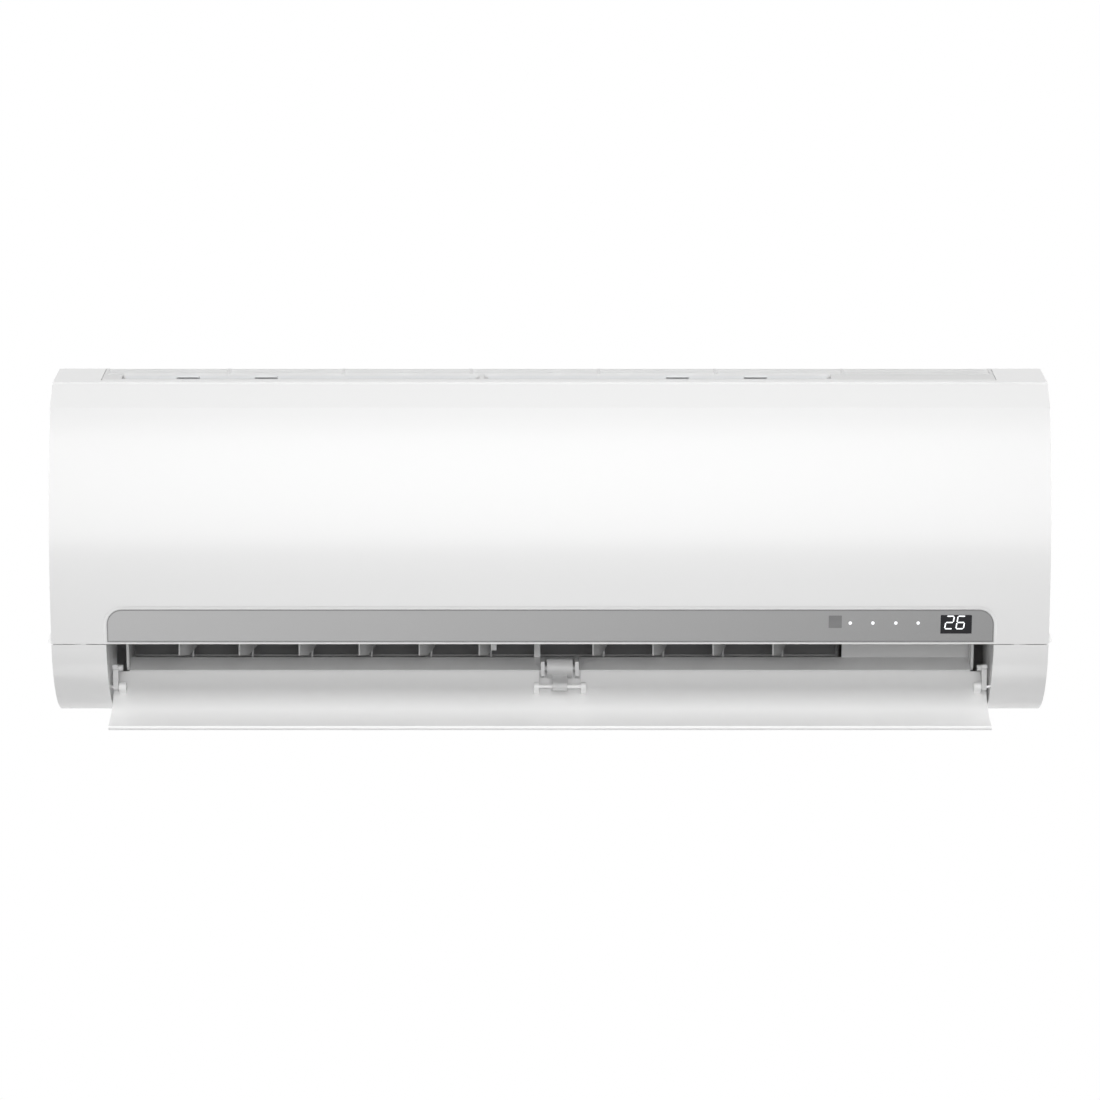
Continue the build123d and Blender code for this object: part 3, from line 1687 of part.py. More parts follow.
with BuildPart() as emergency_button:
    with BuildSketch(front_view(cover_back - 3.0)) as button_plan:
        with Locations((button_x, button_height)):
            Circle(button_radius)
    extrude(button_plan.sketch, amount=button_tip - cover_back + 3.0)
    fillet(emergency_button.faces().sort_by(Axis.Y)[0].edges(), 0.8)
keep(emergency_button.part, "emergency_button")

board_left = box_left + box_wall + 6.0
with BuildPart() as control_board:
    box(board_left, board_left + board_thick, box_back + 6, box_front - 10, box_base + 8, box_top - 8)
    # transformer, smoothing capacitor, relays, heat sink and plug sockets
    board_items = (
        (22.0, 60.0, 88.0, 90.0, 118.0),
        (15.0, 66.0, 84.0, 178.0, 204.0),
        (14.0, 40.0, 56.0, 128.0, 150.0),
        (14.0, 60.0, 76.0, 128.0, 150.0),
        (20.0, 100.0, 108.0, 140.0, 200.0),
        (7.0, 116.0, 124.0, 96.0, 116.0),
        (7.0, 116.0, 124.0, 170.0, 196.0),
    )
    for item_reach, item_back, item_front, item_low, item_high in board_items:
        box(
            board_left + board_thick,
            board_left + board_thick + item_reach,
            item_back,
            item_front,
            item_low,
            item_high,
        )
    for standoff_height in (box_base + 14, box_top - 18):
        standoff_back = box_back + 10
        box(
            box_left + box_wall,
            board_left,
            standoff_back,
            standoff_back + 6,
            standoff_height,
            standoff_height + 6,
        )
keep(control_board.part, "control_board")

with BuildPart() as terminal_block:
    block_left = box_right - box_wall - 22.0
    box(block_left, box_right - box_wall, 96.0, 136.0, box_base + 10, box_base + 28)
    for pole in range(4):
        pole_depth = 99.0 + pole * 9.0
        box(
            block_left - 1,
            block_left + 5,
            pole_depth,
            pole_depth + 6.5,
            box_base + 13,
            box_base + 29,
            Mode.SUBTRACT,
        )
keep(terminal_block.part, "terminal_block")
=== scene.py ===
"""Looks of a wall-hung indoor unit of a split air conditioner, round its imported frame.

Lengths are in metres. X runs along the unit, the front faces -Y, Z is up and the wall is the plane Y = 0.
"""

from math import atan2, pi, radians, sin

import bmesh
import bpy
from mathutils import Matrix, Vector
from mathutils.bvhtree import BVHTree


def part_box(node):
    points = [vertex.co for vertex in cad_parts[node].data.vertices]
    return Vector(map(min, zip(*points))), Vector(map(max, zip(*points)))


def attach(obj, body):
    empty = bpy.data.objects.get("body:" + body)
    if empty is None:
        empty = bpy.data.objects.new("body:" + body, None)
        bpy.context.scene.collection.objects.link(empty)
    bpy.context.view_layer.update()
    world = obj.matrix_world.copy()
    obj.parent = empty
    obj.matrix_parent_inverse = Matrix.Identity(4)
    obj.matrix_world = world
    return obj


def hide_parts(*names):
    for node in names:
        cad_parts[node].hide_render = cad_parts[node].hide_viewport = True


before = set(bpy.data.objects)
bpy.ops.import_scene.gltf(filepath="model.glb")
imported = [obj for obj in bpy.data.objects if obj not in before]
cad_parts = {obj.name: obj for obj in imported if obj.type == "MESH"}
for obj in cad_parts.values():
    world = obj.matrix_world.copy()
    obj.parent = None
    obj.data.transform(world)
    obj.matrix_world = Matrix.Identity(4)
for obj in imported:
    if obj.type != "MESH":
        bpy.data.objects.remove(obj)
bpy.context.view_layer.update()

# ---- Wall plate ----
# A sheet of zinc-plated steel, pressed with stiffening flanges and two hooks, and screwed to the wall. The
# zinc shows its grey crystal flakes and fine marks of rolling along its length.


class Value:
    """An output of a shader node. Sums and products of values add Math nodes to the same finish."""

    def __init__(self, finish, socket):
        self.finish = finish
        self.socket = socket

    def maths(self, operation, first, second):
        return self.finish.node("ShaderNodeMath", {"operation": operation}, {0: first, 1: second})

    def __add__(self, other):
        return self.maths("ADD", self, other)

    def __sub__(self, other):
        return self.maths("SUBTRACT", self, other)

    def __rsub__(self, other):
        return self.maths("SUBTRACT", other, self)

    def __mul__(self, other):
        return self.maths("MULTIPLY", self, other)

    def __truediv__(self, other):
        return self.maths("DIVIDE", self, other)

    def __gt__(self, other):
        return self.maths("GREATER_THAN", self, other)

    def __lt__(self, other):
        return self.maths("LESS_THAN", self, other)

    def __abs__(self):
        return self.maths("ABSOLUTE", self, 0.0)

    def __pow__(self, power):
        return self.maths("POWER", self, power)

    def at_least(self, floor):
        return self.maths("MAXIMUM", self, floor)

    __radd__ = __add__
    __rmul__ = __mul__


class Shading:
    """The node tree of a material or of the surround, with the shader that ends it."""

    def __init__(self, owner, shader):
        owner.use_nodes = True
        self.tree = owner.node_tree
        self.shader = self.tree.nodes[shader]

    def node(self, kind, settings, inputs, output=0):
        """Adds one node of a kind, with its settings and then the values or links of its sockets."""
        made = self.tree.nodes.new(kind)
        for setting, value in settings.items():
            setattr(made, setting, value)
        for socket, value in inputs.items():
            self.join(value, made.inputs[socket])
        return Value(self, made.outputs[output])

    def join(self, value, socket):
        if isinstance(value, Value):
            self.tree.links.new(value.socket, socket)
        else:
            socket.default_value = value

    def set(self, **inputs):
        """Joins what varies to the shader."""
        for name, value in inputs.items():
            self.join(value, self.shader.inputs[name.replace("_", " ").title()])


class Finish(Shading):
    """A material on one Principled shader. What is the same all over is set on its sockets at once."""

    def __init__(self, name, constants):
        self.material = bpy.data.materials.new(name)
        super().__init__(self.material, "Principled BSDF")
        for socket, value in constants.items():
            self.shader.inputs[socket].default_value = value
        self.place = self.node("ShaderNodeTexCoord", {}, {}, "Object")

    def noise(self, scale, detail=2.0, stretch=(1.0, 1.0, 1.0)):
        """Cloudy value from 0 to 1; stretch scales the three directions."""
        place = self.node("ShaderNodeVectorMath", {"operation": "MULTIPLY"}, {0: self.place, 1: stretch})
        return self.node("ShaderNodeTexNoise", {}, {"Vector": place, "Scale": scale, "Detail": detail})

    def along(self, axis):
        """The place along X, Y or Z, in metres."""
        return self.node("ShaderNodeSeparateXYZ", {}, {"Vector": self.place}, axis)

    def mix(self, factor, first, second):
        """Colour between two colours."""
        first, second = ((*c, 1.0) if isinstance(c, tuple) else c for c in (first, second))
        return self.node("ShaderNodeMix", {"data_type": "RGBA"}, {0: factor, 6: first, 7: second}, 2)

    def relief(self, height, depth):
        """Surface normal of a relief whose height runs from 0 to 1 over a depth in metres."""
        return self.node("ShaderNodeBump", {}, {"Height": height, "Distance": depth})

    def set(self, **inputs):
        """Joins what varies over the surface to the shader, and gives the finished material."""
        super().set(**inputs)
        return self.material


def dress(finish, *nodes):
    """Gives a finish to pieces of the frame."""
    for node in nodes:
        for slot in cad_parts[node].material_slots:
            slot.material = finish


def zinc_steel(name, shade):
    """Zinc-plated sheet: grey flakes a few millimetres across under fine rolling marks."""
    finish = Finish(name, {"Metallic": 1.0})
    flakes = finish.node("ShaderNodeTexVoronoi", {}, {"Vector": finish.place, "Scale": 260.0}, "Color")
    flake_tone = finish.node("ShaderNodeRGBToBW", {}, {"Color": flakes})
    rolling = finish.noise(900.0, 2.0, (0.04, 1.0, 1.0))
    dull = tuple(channel * 0.8 for channel in shade)
    return finish.set(
        base_color=finish.mix(flake_tone, dull, shade),
        roughness=0.3 + 0.16 * flake_tone + 0.06 * rolling,
        normal=finish.relief(rolling, 0.00001),
    )


dress(zinc_steel("Zinc-plated plate", (0.66, 0.68, 0.70)), "mounting_plate")

# ---- Rear chassis ----
# The back of the body: one large moulding in mid-grey plastic that holds the fan, the coil and the pipes.
# Its spark-eroded grain is duller than the casing's, and the plastic's flow leaves slow changes of tone.


def moulded_plastic(name, shade, roughness, grain=0.000012, wander=0.04):
    """Moulded plastic with grain of a depth in metres and a slow wander of tone and gloss."""
    finish = Finish(name, {})
    flow = finish.noise(7.0, 4.0, (0.5, 1.0, 1.0))
    speckle = finish.noise(1400.0, 3.0)
    duller = tuple(channel * (1.0 - wander) for channel in shade)
    tone = finish.mix(0.75 * flow + 0.25 * speckle, duller, shade)
    return finish.set(
        base_color=tone,
        roughness=roughness - 0.03 + 0.08 * flow,
        normal=finish.relief(speckle, grain),
    )


dress(moulded_plastic("Chassis plastic", (0.46, 0.46, 0.465), 0.5, 0.00003), "rear_chassis")

# ---- Refrigerant pipes ----
# Drawn copper tubes, bright with brown tarnish, which end in hexagonal flare nuts of machined brass. A
# white plastic block clamps both in the trough at the back of the base.

copper = Finish("Drawn copper", {"Metallic": 1.0})
tarnish = copper.noise(35.0, 5.0, (0.3, 1.0, 1.0))
drawing_marks = copper.noise(700.0, 2.0, (0.03, 1.0, 1.0))
copper_finish = copper.set(
    base_color=copper.mix(tarnish, (0.86, 0.47, 0.30), (0.55, 0.26, 0.16)),
    roughness=0.18 + 0.3 * tarnish,
    normal=copper.relief(drawing_marks, 0.000008),
)
dress(copper_finish, "gas_pipe", "liquid_pipe")

brass = Finish("Machined brass", {"Metallic": 1.0})
turning_marks = brass.noise(1500.0, 1.0, (1.0, 0.05, 0.05))
handling = brass.noise(60.0, 3.0)
brass_finish = brass.set(
    base_color=brass.mix(handling, (0.84, 0.66, 0.30), (0.66, 0.50, 0.22)),
    roughness=0.22 + 0.2 * handling,
    normal=brass.relief(turning_marks, 0.00001),
)
dress(brass_finish, "flare_nuts")
dress(moulded_plastic("Clamp nylon", (0.82, 0.82, 0.79), 0.45), "pipe_clamp")

# ---- Fan and its bearings ----
# The cross-flow fan: 35 curved blades between discs, moulded in black glass-filled plastic, whose fibres
# show as pale streaks. It turns on a steel stub in a bush at the left and on the motor's shaft at the
# right.

fan_plastic = Finish("Glass-filled plastic", {})
fibres = fan_plastic.noise(500.0, 3.0, (0.08, 1.0, 1.0))
fan_dust = fan_plastic.noise(45.0, 4.0)
fan_finish = fan_plastic.set(
    base_color=fan_plastic.mix(0.35 * fibres + 0.4 * fan_dust, (0.035, 0.036, 0.04), (0.15, 0.15, 0.155)),
    roughness=0.38 + 0.25 * fan_dust,
    normal=fan_plastic.relief(fibres, 0.00002),
)
dress(fan_finish, "cross_flow_fan")

ground_steel = Finish("Ground steel", {"Metallic": 1.0})
grinding = ground_steel.noise(1800.0, 2.0, (1.0, 0.03, 0.03))
steel_finish = ground_steel.set(
    base_color=ground_steel.mix(grinding, (0.60, 0.60, 0.62), (0.76, 0.76, 0.77)),
    roughness=0.2 + 0.12 * grinding,
    normal=ground_steel.relief(grinding, 0.000006),
)
dress(steel_finish, "fan_stub_shaft", "motor_shaft", "flap_motor_shaft", "panel_hinge_pins")

bush = Finish("Sintered bronze", {"Metallic": 0.9})
pores = bush.noise(2600.0, 4.0)
bush_finish = bush.set(
    base_color=bush.mix(pores, (0.30, 0.20, 0.12), (0.62, 0.46, 0.28)),
    roughness=0.35 + 0.25 * pores,
    normal=bush.relief(pores, 0.00003),
)
dress(bush_finish, "fan_bearing")


def soft_rubber(name, shade):
    """Moulded rubber with a matt bloom."""
    finish = Finish(name, {"Specular IOR Level": 0.35})
    bloom = finish.noise(120.0, 5.0)
    pebble = finish.noise(1600.0, 3.0)
    paler = tuple(channel + 0.05 for channel in shade)
    return finish.set(
        base_color=finish.mix(bloom, shade, paler),
        roughness=0.6 + 0.25 * bloom,
        normal=finish.relief(pebble, 0.00004),
    )


rubber = soft_rubber("Bearing rubber", (0.035, 0.035, 0.037))
dress(rubber, "bearing_holder", "motor_rubber_rings", "drain_plug")

# ---- Fan motor ----
# A sealed motor cast in white resin, held in two rubber rings under a plastic cover.

dress(moulded_plastic("Motor resin", (0.72, 0.72, 0.69), 0.55, 0.00006, 0.12), "fan_motor")
dress(moulded_plastic("Cover plastic", (0.76, 0.77, 0.77), 0.45), "motor_cover")

# ---- Evaporator ----
# Three packs of thin aluminium fins wrap over the fan on copper tubes that turn back in bends at the left.
# The packs are built fin by fin, in the space of the frame's slabs, between end sheets of zinc-plated
# steel.

fin_pitch = 0.0016
fin_thickness = 0.00022
box_faces = ((0, 1, 2, 3), (7, 6, 5, 4), (0, 4, 5, 1), (1, 5, 6, 2), (2, 6, 7, 3), (3, 7, 4, 0))


def end_outline(node):
    """Corners of a straight piece's end as (y, z), in order round its middle."""
    corners = {(round(v.co.y, 5), round(v.co.z, 5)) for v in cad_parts[node].data.vertices}
    middle_y = sum(y for y, z in corners) / len(corners)
    middle_z = sum(z for y, z in corners) / len(corners)
    return sorted(corners, key=lambda corner: atan2(corner[1] - middle_z, corner[0] - middle_y))


def make_piece(name, vertices, faces, finish, slot, body):
    """A new piece from its mesh, with its finish and the body that it rides on. The slot is not used."""
    mesh = bpy.data.meshes.new(name)
    mesh.from_pydata([tuple(vertex) for vertex in vertices], [], faces)
    shape = bmesh.new()
    shape.from_mesh(mesh)
    bmesh.ops.recalc_face_normals(shape, faces=shape.faces)
    shape.to_mesh(mesh)
    shape.free()
    mesh.materials.append(finish)
    piece = bpy.data.objects.new(name, mesh)
    bpy.context.scene.collection.objects.link(piece)
    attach(piece, body)
    return piece


def prisms(loops):
    """Vertices and faces of closed prisms, each given by its two end loops of four points."""
    vertices = []
    faces = []
    for near, far in loops:
        first = len(vertices)
        vertices += [*near, *far]
        faces += [tuple(first + corner for corner in face) for face in box_faces]
    return vertices, faces


aluminium = Finish("Coated fins", {"Metallic": 1.0})
coating = aluminium.noise(80.0, 4.0)
louvres = aluminium.noise(600.0, 2.0, (0.1, 1.0, 1.0))
fin_finish = aluminium.set(
    base_color=aluminium.mix(coating, (0.60, 0.66, 0.70), (0.80, 0.82, 0.83)),
    roughness=0.3 + 0.2 * coating,
    normal=aluminium.relief(louvres, 0.00008),
)
for pack in ("front", "top", "rear"):
    slab = f"evaporator_{pack}"
    outline = end_outline(slab)
    slab_left, slab_right = (corner.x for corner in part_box(slab))
    fin_count = int((slab_right - slab_left) / fin_pitch)
    fins = []
    for number in range(fin_count):
        fin_x = slab_left + (number + 0.5) * fin_pitch
        near, far = (
            [(x, y, z) for y, z in outline] for x in (fin_x - fin_thickness / 2, fin_x + fin_thickness / 2)
        )
        fins.append((near, far))
    fin_pack = make_piece(f"{pack}_fin_pack", *prisms(fins), fin_finish, "fin_aluminium", "housing")
    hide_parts(slab)

dress(zinc_steel("Zinc-plated end sheets", (0.68, 0.69, 0.70)), "tube_sheets")
dress(copper_finish, "return_bends")

# ---- Electrical bay ----
# A flame-proof plastic box with a vented cover over the control board, whose green laminate carries dark
# parts and bright solder, beside a cream terminal block. The emergency button stands in a tube on the
# cover.

dress(moulded_plastic("Bay plastic", (0.66, 0.67, 0.67), 0.5), "electrical_box", "electrical_box_cover")

board = Finish("Circuit board", {})
laminate_weave = board.noise(1500.0, 2.0, (0.2, 1.0, 1.0))
track_layout = {"Vector": board.place, "Scale": 90.0, "Mortar Size": 0.03}
tracks = board.node("ShaderNodeTexBrick", {}, track_layout, "Fac")
bare_edge = 0.008
is_part = board.along("X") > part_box("control_board")[0].x + bare_edge
laminate = board.mix(0.6 * tracks + 0.3 * laminate_weave, (0.02, 0.16, 0.07), (0.10, 0.36, 0.17))
part_tone = board.mix(board.noise(30.0, 1.0), (0.02, 0.02, 0.025), (0.28, 0.25, 0.12))
board_finish = board.set(
    base_color=board.mix(is_part, laminate, part_tone),
    roughness=0.3 + 0.2 * is_part,
    normal=board.relief(tracks, 0.00003),
)
dress(board_finish, "control_board", "display_board")
dress(moulded_plastic("Terminal cream", (0.74, 0.68, 0.50), 0.4), "terminal_block")
dress(moulded_plastic("Button plastic", (0.70, 0.71, 0.72), 0.35), "emergency_button")

# ---- Drain pan and outlet duct ----
# Grey-white mouldings that form the outlet's roof and floor: the pan catches water under the front coil,
# and the duct carries the air over a sloping deck, past the vanes' shelf and a post at the middle.

duct_plastic = moulded_plastic("Duct plastic", (0.78, 0.78, 0.78), 0.42, 0.00002)
dress(duct_plastic, "drain_pan", "outlet_duct")

# ---- Guide vanes and their links ----
# Ten upright vanes that turn together in two groups, each group joined by a link bar. The bar of the left
# group has a finger tab. They are plain grey mouldings with a dull face.

dress(
    moulded_plastic("Vane plastic", (0.66, 0.66, 0.66), 0.45),
    *[f"guide_vane_{number:02d}" for number in range(1, 11)],
)
dress(moulded_plastic("Link plastic", (0.74, 0.74, 0.74), 0.4), "left_vane_link", "right_vane_link")

# ---- Flap and what carries it ----
# The long curved flap closes the outlet. It hangs on an arm at each end and on a support at the middle that
# holds a round damper, and a small geared motor in a metal can turns it from the right.


def white_gloss(name, shade):
    """Glossy white plastic: bright under a clear, slightly uneven skin."""
    finish = Finish(name, {"Coat Weight": 0.6, "Coat Roughness": 0.16, "Coat IOR": 1.5})
    flow = finish.noise(4.0, 3.0, (0.4, 1.0, 1.0))
    speckle = finish.noise(2200.0, 2.0)
    duller = tuple(channel * 0.985 for channel in shade)
    return finish.set(
        base_color=finish.mix(flow, duller, shade),
        roughness=0.34 + 0.06 * flow,
        normal=finish.relief(speckle, 0.000004),
    )


# The flap is the casing's plastic, painted a lighter white than the casing as painted light.
dress(white_gloss("Flap white painted lighter", (0.955, 0.955, 0.952)), "flap")
dress(moulded_plastic("Arm plastic", (0.72, 0.72, 0.72), 0.35), "left_flap_arm", "right_flap_arm")
dress(moulded_plastic("Support plastic", (0.70, 0.70, 0.70), 0.35), "centre_flap_support")
dress(zinc_steel("Motor can", (0.64, 0.65, 0.66)), "flap_motor")

# ---- Casing ----
# One glossy white moulding: the top strip, the two ends, the frame behind the panel and the end caps beside
# the outlet. Three zinc-plated screws hold it to the drain pan.

casing_white = (0.92, 0.92, 0.918)
dress(white_gloss("Casing white", casing_white), "front_casing")
dress(zinc_steel("Screw plating", (0.70, 0.70, 0.70)), "casing_screws")

# ---- Intake grille ----
# Long thin slats and a few cross bars over the top opening, in the casing's plastic with a finer, duller
# grain.

dress(moulded_plastic("Grille plastic", (0.84, 0.84, 0.838), 0.4), "intake_grille")

# ---- Air filters ----
# Two stiff plastic frames slide out over the grille's edge by their pull tabs. A fine woven net lies in
# each. It is built thread by thread in the space of the frame's plain sheet.

thread_pitch = 0.0019
thread_half = 0.00016

net_plastic = Finish("Net threads", {"Specular IOR Level": 0.4})
thread_tone = net_plastic.noise(300.0, 3.0)
net_finish = net_plastic.set(
    base_color=net_plastic.mix(thread_tone, (0.60, 0.63, 0.66), (0.80, 0.82, 0.84)),
    roughness=0.45 + 0.2 * thread_tone,
    normal=net_plastic.relief(net_plastic.noise(2400.0, 2.0), 0.00002),
)
filter_plastic = moulded_plastic("Filter frame plastic", (0.80, 0.81, 0.82), 0.42)
for side in ("left", "right"):
    sheet = f"{side}_filter_net"
    corners = [Vector((0.0, y, z)) for y, z in end_outline(sheet)]
    sides = [(corners[(n + 1) % 4] - corners[n], corners[n]) for n in range(4)]
    run, rear = max(sides, key=lambda edge: edge[0].length)
    middle_line = rear + (sum(corners, Vector()) / 4 - (rear + run / 2))
    forward = run.normalized()
    upright = Vector((0.0, -forward.z, forward.y))
    sheet_left, sheet_right = (corner.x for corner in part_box(sheet))
    sideways = Vector((1.0, 0.0, 0.0))
    threads = []
    for number in range(int(run.length / thread_pitch)):
        start = middle_line + forward * thread_pitch * (number + 0.5)
        near, far = (
            [
                start + sideways * x + forward * thread_half * a + upright * thread_half * b
                for a, b in ((-1, -1), (1, -1), (1, 1), (-1, 1))
            ]
            for x in (sheet_left, sheet_right)
        )
        threads.append((near, far))
    for number in range(int((sheet_right - sheet_left) / thread_pitch)):
        start = middle_line + sideways * (sheet_left + thread_pitch * (number + 0.5))
        near, far = (
            [
                start + run * share + sideways * thread_half * a + upright * thread_half * b
                for a, b in ((-1, -1), (1, -1), (1, 1), (-1, 1))
            ]
            for share in (0.0, 1.0)
        )
        threads.append((near, far))
    woven_net = make_piece(f"{side}_woven_net", *prisms(threads), net_finish, "net_white", f"{side}_filter")
    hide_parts(sheet)
    dress(filter_plastic, f"{side}_air_filter")

# ---- Front panel ----
# The large curved cover, glossy white, hung from two hinge pins under the top strip.

dress(white_gloss("Panel white", casing_white), "front_panel")

# ---- Display ----
# A satin grey strip let into the panel, with a painted sheen that fades from light at its left end to
# darker at its right and a painted shade along its rim for the recess, with a smoked window at the right
# that lets two seven-segment digits show through, a darker receiver window and four clear light pipes.

strip_low, strip_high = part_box("display_strip")
strip_left, strip_right = strip_low.x, strip_high.x
strip_corner = 0.012
rim_width = 0.0008
strip = Finish("Strip grey", {"Coat Weight": 0.5, "Coat Roughness": 0.2})
across_strip = (strip.along("X") - strip_left) / (strip_right - strip_left)
mica = strip.noise(1700.0, 2.0)
# Painted sheen: the strip's grey is painted lighter at its left end and darker at its right.
strip_painted_sheen = strip.mix(across_strip, (0.53, 0.53, 0.53), (0.295, 0.295, 0.295))
# A dark line along the strip's rounded top and its foot is painted shade from the recess.
strip_middle = (strip_left + strip_right) / 2
half_straight = strip_right - strip_middle - strip_corner
past_straight = (abs(strip.along("X") - strip_middle) - half_straight).at_least(0.0)
above_straight = (strip.along("Z") - (strip_high.z - strip_corner)).at_least(0.0)
from_corner = (past_straight ** 2.0 + above_straight ** 2.0) ** 0.5
rim_painted_shade = ((from_corner > strip_corner - rim_width) + (strip.along("Z") < strip_low.z + rim_width)) > 0.5
flecked = strip.mix(0.12 * mica, strip_painted_sheen, (0.7, 0.7, 0.72))
strip_finish = strip.set(
    base_color=strip.mix(0.6 * rim_painted_shade, flecked, (0.12, 0.12, 0.12)),
    roughness=0.36 + 0.1 * mica,
    normal=strip.relief(mica, 0.000006),
)
dress(strip_finish, "display_strip")


def smoked_window(name, shade):
    """Dark glossy window with faint wiping marks."""
    finish = Finish(name, {"Coat Weight": 0.15, "Coat Roughness": 0.04, "Specular IOR Level": 0.15})
    wiping = finish.noise(25.0, 4.0, (1.0, 1.0, 3.0))
    paler = tuple(channel * 1.6 for channel in shade)
    return finish.set(base_color=finish.mix(wiping, shade, paler), roughness=0.12 + 0.1 * wiping)


dress(smoked_window("Smoked window", (0.012, 0.012, 0.014)), "display_window", "digit_display")
dress(smoked_window("Receiver window", (0.19, 0.19, 0.192)), "receiver_window")

lamp = Finish("Light pipe", {"Emission Strength": 0.55, "Coat Weight": 1.0})
lamp_haze = lamp.noise(400.0, 2.0)
lamp_finish = lamp.set(
    base_color=lamp.mix(lamp_haze, (0.86, 0.88, 0.90), (0.95, 0.96, 0.97)),
    emission_color=lamp.mix(lamp_haze, (0.9, 0.93, 0.95), (1.0, 1.0, 1.0)),
    roughness=0.1 + 0.1 * lamp_haze,
)
dress(lamp_finish, "status_lamps")

digit_glow = Finish("Lit segments", {"Emission Strength": 1.0, "Specular IOR Level": 0.2})
segment_haze = digit_glow.noise(700.0, 2.0)
segment_finish = digit_glow.set(
    base_color=digit_glow.mix(segment_haze, (0.80, 0.83, 0.85), (0.92, 0.94, 0.95)),
    emission_color=digit_glow.mix(segment_haze, (0.80, 0.86, 0.90), (1.0, 1.0, 1.0)),
    roughness=0.3 + 0.1 * segment_haze,
)

digit_width = 0.0060
digit_height = 0.0101
digit_foot = -0.0831
digit_lefts = (0.3162, 0.3252)
digit_slant = radians(9.0)
segment_half = 0.00045
segment_gap = 0.00025
segment_proud = 0.00006
lit = {
    "2": "top upper_right middle lower_left foot",
    "6": "top upper_left middle lower_left lower_right foot",
}
segment_ends = {
    "top": ((0, 2), (1, 2)),
    "middle": ((0, 1), (1, 1)),
    "foot": ((0, 0), (1, 0)),
    "upper_left": ((0, 1), (0, 2)),
    "upper_right": ((1, 1), (1, 2)),
    "lower_left": ((0, 0), (0, 1)),
    "lower_right": ((1, 0), (1, 1)),
}
window_surface = BVHTree.FromObject(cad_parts["display_window"], bpy.context.evaluated_depsgraph_get())
seen_from = -1.0
digit_vertices = []
digit_faces = []
for digit, digit_left in zip("26", digit_lefts):
    for segment in lit[digit].split():
        (x_a, z_a), (x_b, z_b) = segment_ends[segment]
        start = Vector((x_a * digit_width, z_a * digit_height / 2))
        end = Vector((x_b * digit_width, z_b * digit_height / 2))
        run = (end - start).normalized()
        square = Vector((-run.y, run.x)) * segment_half
        shoulder = segment_gap + segment_half
        hexagon = [
            start + run * segment_gap,
            start + run * shoulder - square,
            end - run * shoulder - square,
            end - run * segment_gap,
            end - run * shoulder + square,
            start + run * shoulder + square,
        ]
        first = len(digit_vertices)
        for point in hexagon:
            x = digit_left + point.x + point.y * sin(digit_slant)
            z = digit_foot + point.y
            hit = window_surface.ray_cast(Vector((x, seen_from, z)), Vector((0.0, 1.0, 0.0)))[0]
            digit_vertices += [(x, hit.y - segment_proud, z), (x, hit.y + segment_proud, z)]
        edges = len(hexagon)
        front, back = ([first + 2 * n + layer for n in range(edges)] for layer in (0, 1))
        digit_faces += [tuple(front), tuple(reversed(back))]
        for n in range(edges):
            following = (n + 1) % edges
            digit_faces.append((front[following], front[n], back[n], back[following]))
make_piece("display_digits", digit_vertices, digit_faces, segment_finish, "lamp_clear", "panel")

# ---- Studio ----
# A pale floor well below the unit, clear when seen from under it, soft lamps all round and a plain white
# surround. The camera stands three metres before the panel, level, a little under the unit's middle.

view_distance = 3.0
view_width = 0.8778
sensor = 36.0
camera_height = -0.020
panel_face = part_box("front_panel")[0].y

eye = bpy.data.cameras.new("Camera")
eye.sensor_width = sensor
eye.lens = sensor * view_distance / view_width
camera = bpy.data.objects.new("Camera", eye)
camera.location = (0.0, panel_face - view_distance, camera_height)
camera.rotation_euler = (pi / 2, 0.0, 0.0)
bpy.context.scene.collection.objects.link(camera)
bpy.context.scene.camera = camera


def soft_lamp(name, place, target, width, height, radiance, mirrored=True):
    """Rectangular soft lamp at a place, turned to a target; radiance is how bright its face is.

    One that isn't mirrored lights the unit and doesn't show in its gloss.
    """
    lamp_data = bpy.data.lights.new(name, "AREA")
    lamp_data.shape = "RECTANGLE"
    lamp_data.size = width
    lamp_data.size_y = height
    lamp_data.energy = radiance * width * height * pi
    holder = bpy.data.objects.new(name, lamp_data)
    holder.location = place
    holder.rotation_euler = (Vector(target) - Vector(place)).to_track_quat("-Z", "Y").to_euler()
    holder.visible_camera = False
    holder.visible_glossy = mirrored
    bpy.context.scene.collection.objects.link(holder)


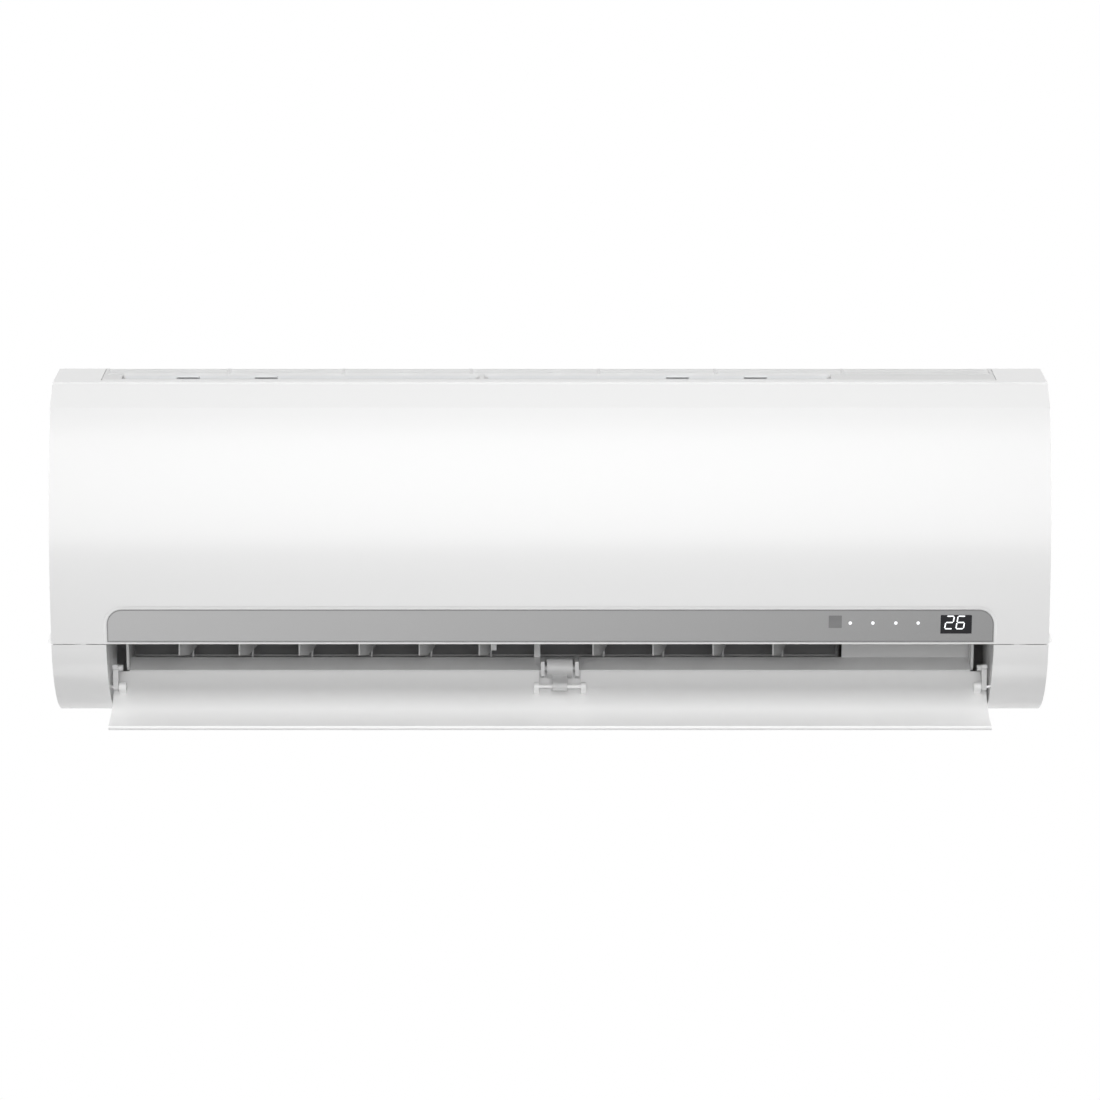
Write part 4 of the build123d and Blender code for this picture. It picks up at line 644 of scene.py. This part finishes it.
unit_middle = (0.0, -0.09, 0.0)
soft_lamp("Front softbox", (0.0, -4.0, 0.42), unit_middle, 2.4, 2.1, 3.7)
soft_lamp("High softbox", (0.0, -2.1, 2.45), unit_middle, 2.4, 1.3, 5.7)
soft_lamp("Low reflector", (0.0, -0.65, -1.3), unit_middle, 1.4, 0.4, 1.7)
soft_lamp("Rear softbox", (0.0, 3.4, 0.35), unit_middle, 2.4, 1.8, 5.5, False)
for side in (-1, 1):
    soft_lamp("Side softbox", (3.5 * side, 0.5, 0.5), unit_middle, 1.6, 1.6, 6.5, False)


def seen_directly(shading):
    """1 where the eye, a reflection or a look through glass meets it, and 0 for the light that it gives."""
    camera_ray, glossy_ray, glass_ray = (
        shading.node("ShaderNodeLightPath", {}, {}, f"Is {kind} Ray")
        for kind in ("Camera", "Glossy", "Transmission")
    )
    return camera_ray.at_least(glossy_ray).at_least(glass_ray)


floor_drop = 1.5
floor_half = 4.0
floor_mesh = bpy.data.meshes.new("Floor")
floor_corners = [
    (floor_half * x, floor_half * y, -floor_drop) for x, y in ((-1, -1), (1, -1), (1, 1), (-1, 1))
]
floor_mesh.from_pydata(floor_corners, [], [(0, 1, 2, 3)])
floor = bpy.data.objects.new("Floor", floor_mesh)
floor_paint = Finish("Pale floor", {"Roughness": 0.8, "Emission Strength": 1.0})
floor_tone = floor_paint.noise(1.5, 3.0)
underside = floor_paint.node("ShaderNodeNewGeometry", {}, {}, "Backfacing")
floor_glow = floor_paint.mix(seen_directly(floor_paint), (0.0, 0.0, 0.0), (0.80, 0.80, 0.80))
floor_mesh.materials.append(
    floor_paint.set(
        base_color=floor_paint.mix(floor_tone, (0.34, 0.34, 0.34), (0.38, 0.38, 0.38)),
        emission_color=floor_glow,
        alpha=1.0 - underside,
    )
)
bpy.context.scene.collection.objects.link(floor)

sky = bpy.data.worlds.new("Surround")
bpy.context.scene.world = sky
surround = Shading(sky, "Background")
sky_light = 0.05
surround.set(color=(1.0, 1.0, 1.0, 1.0), strength=sky_light + (1.0 - sky_light) * seen_directly(surround))

bpy.context.scene.view_settings.view_transform = "Standard"
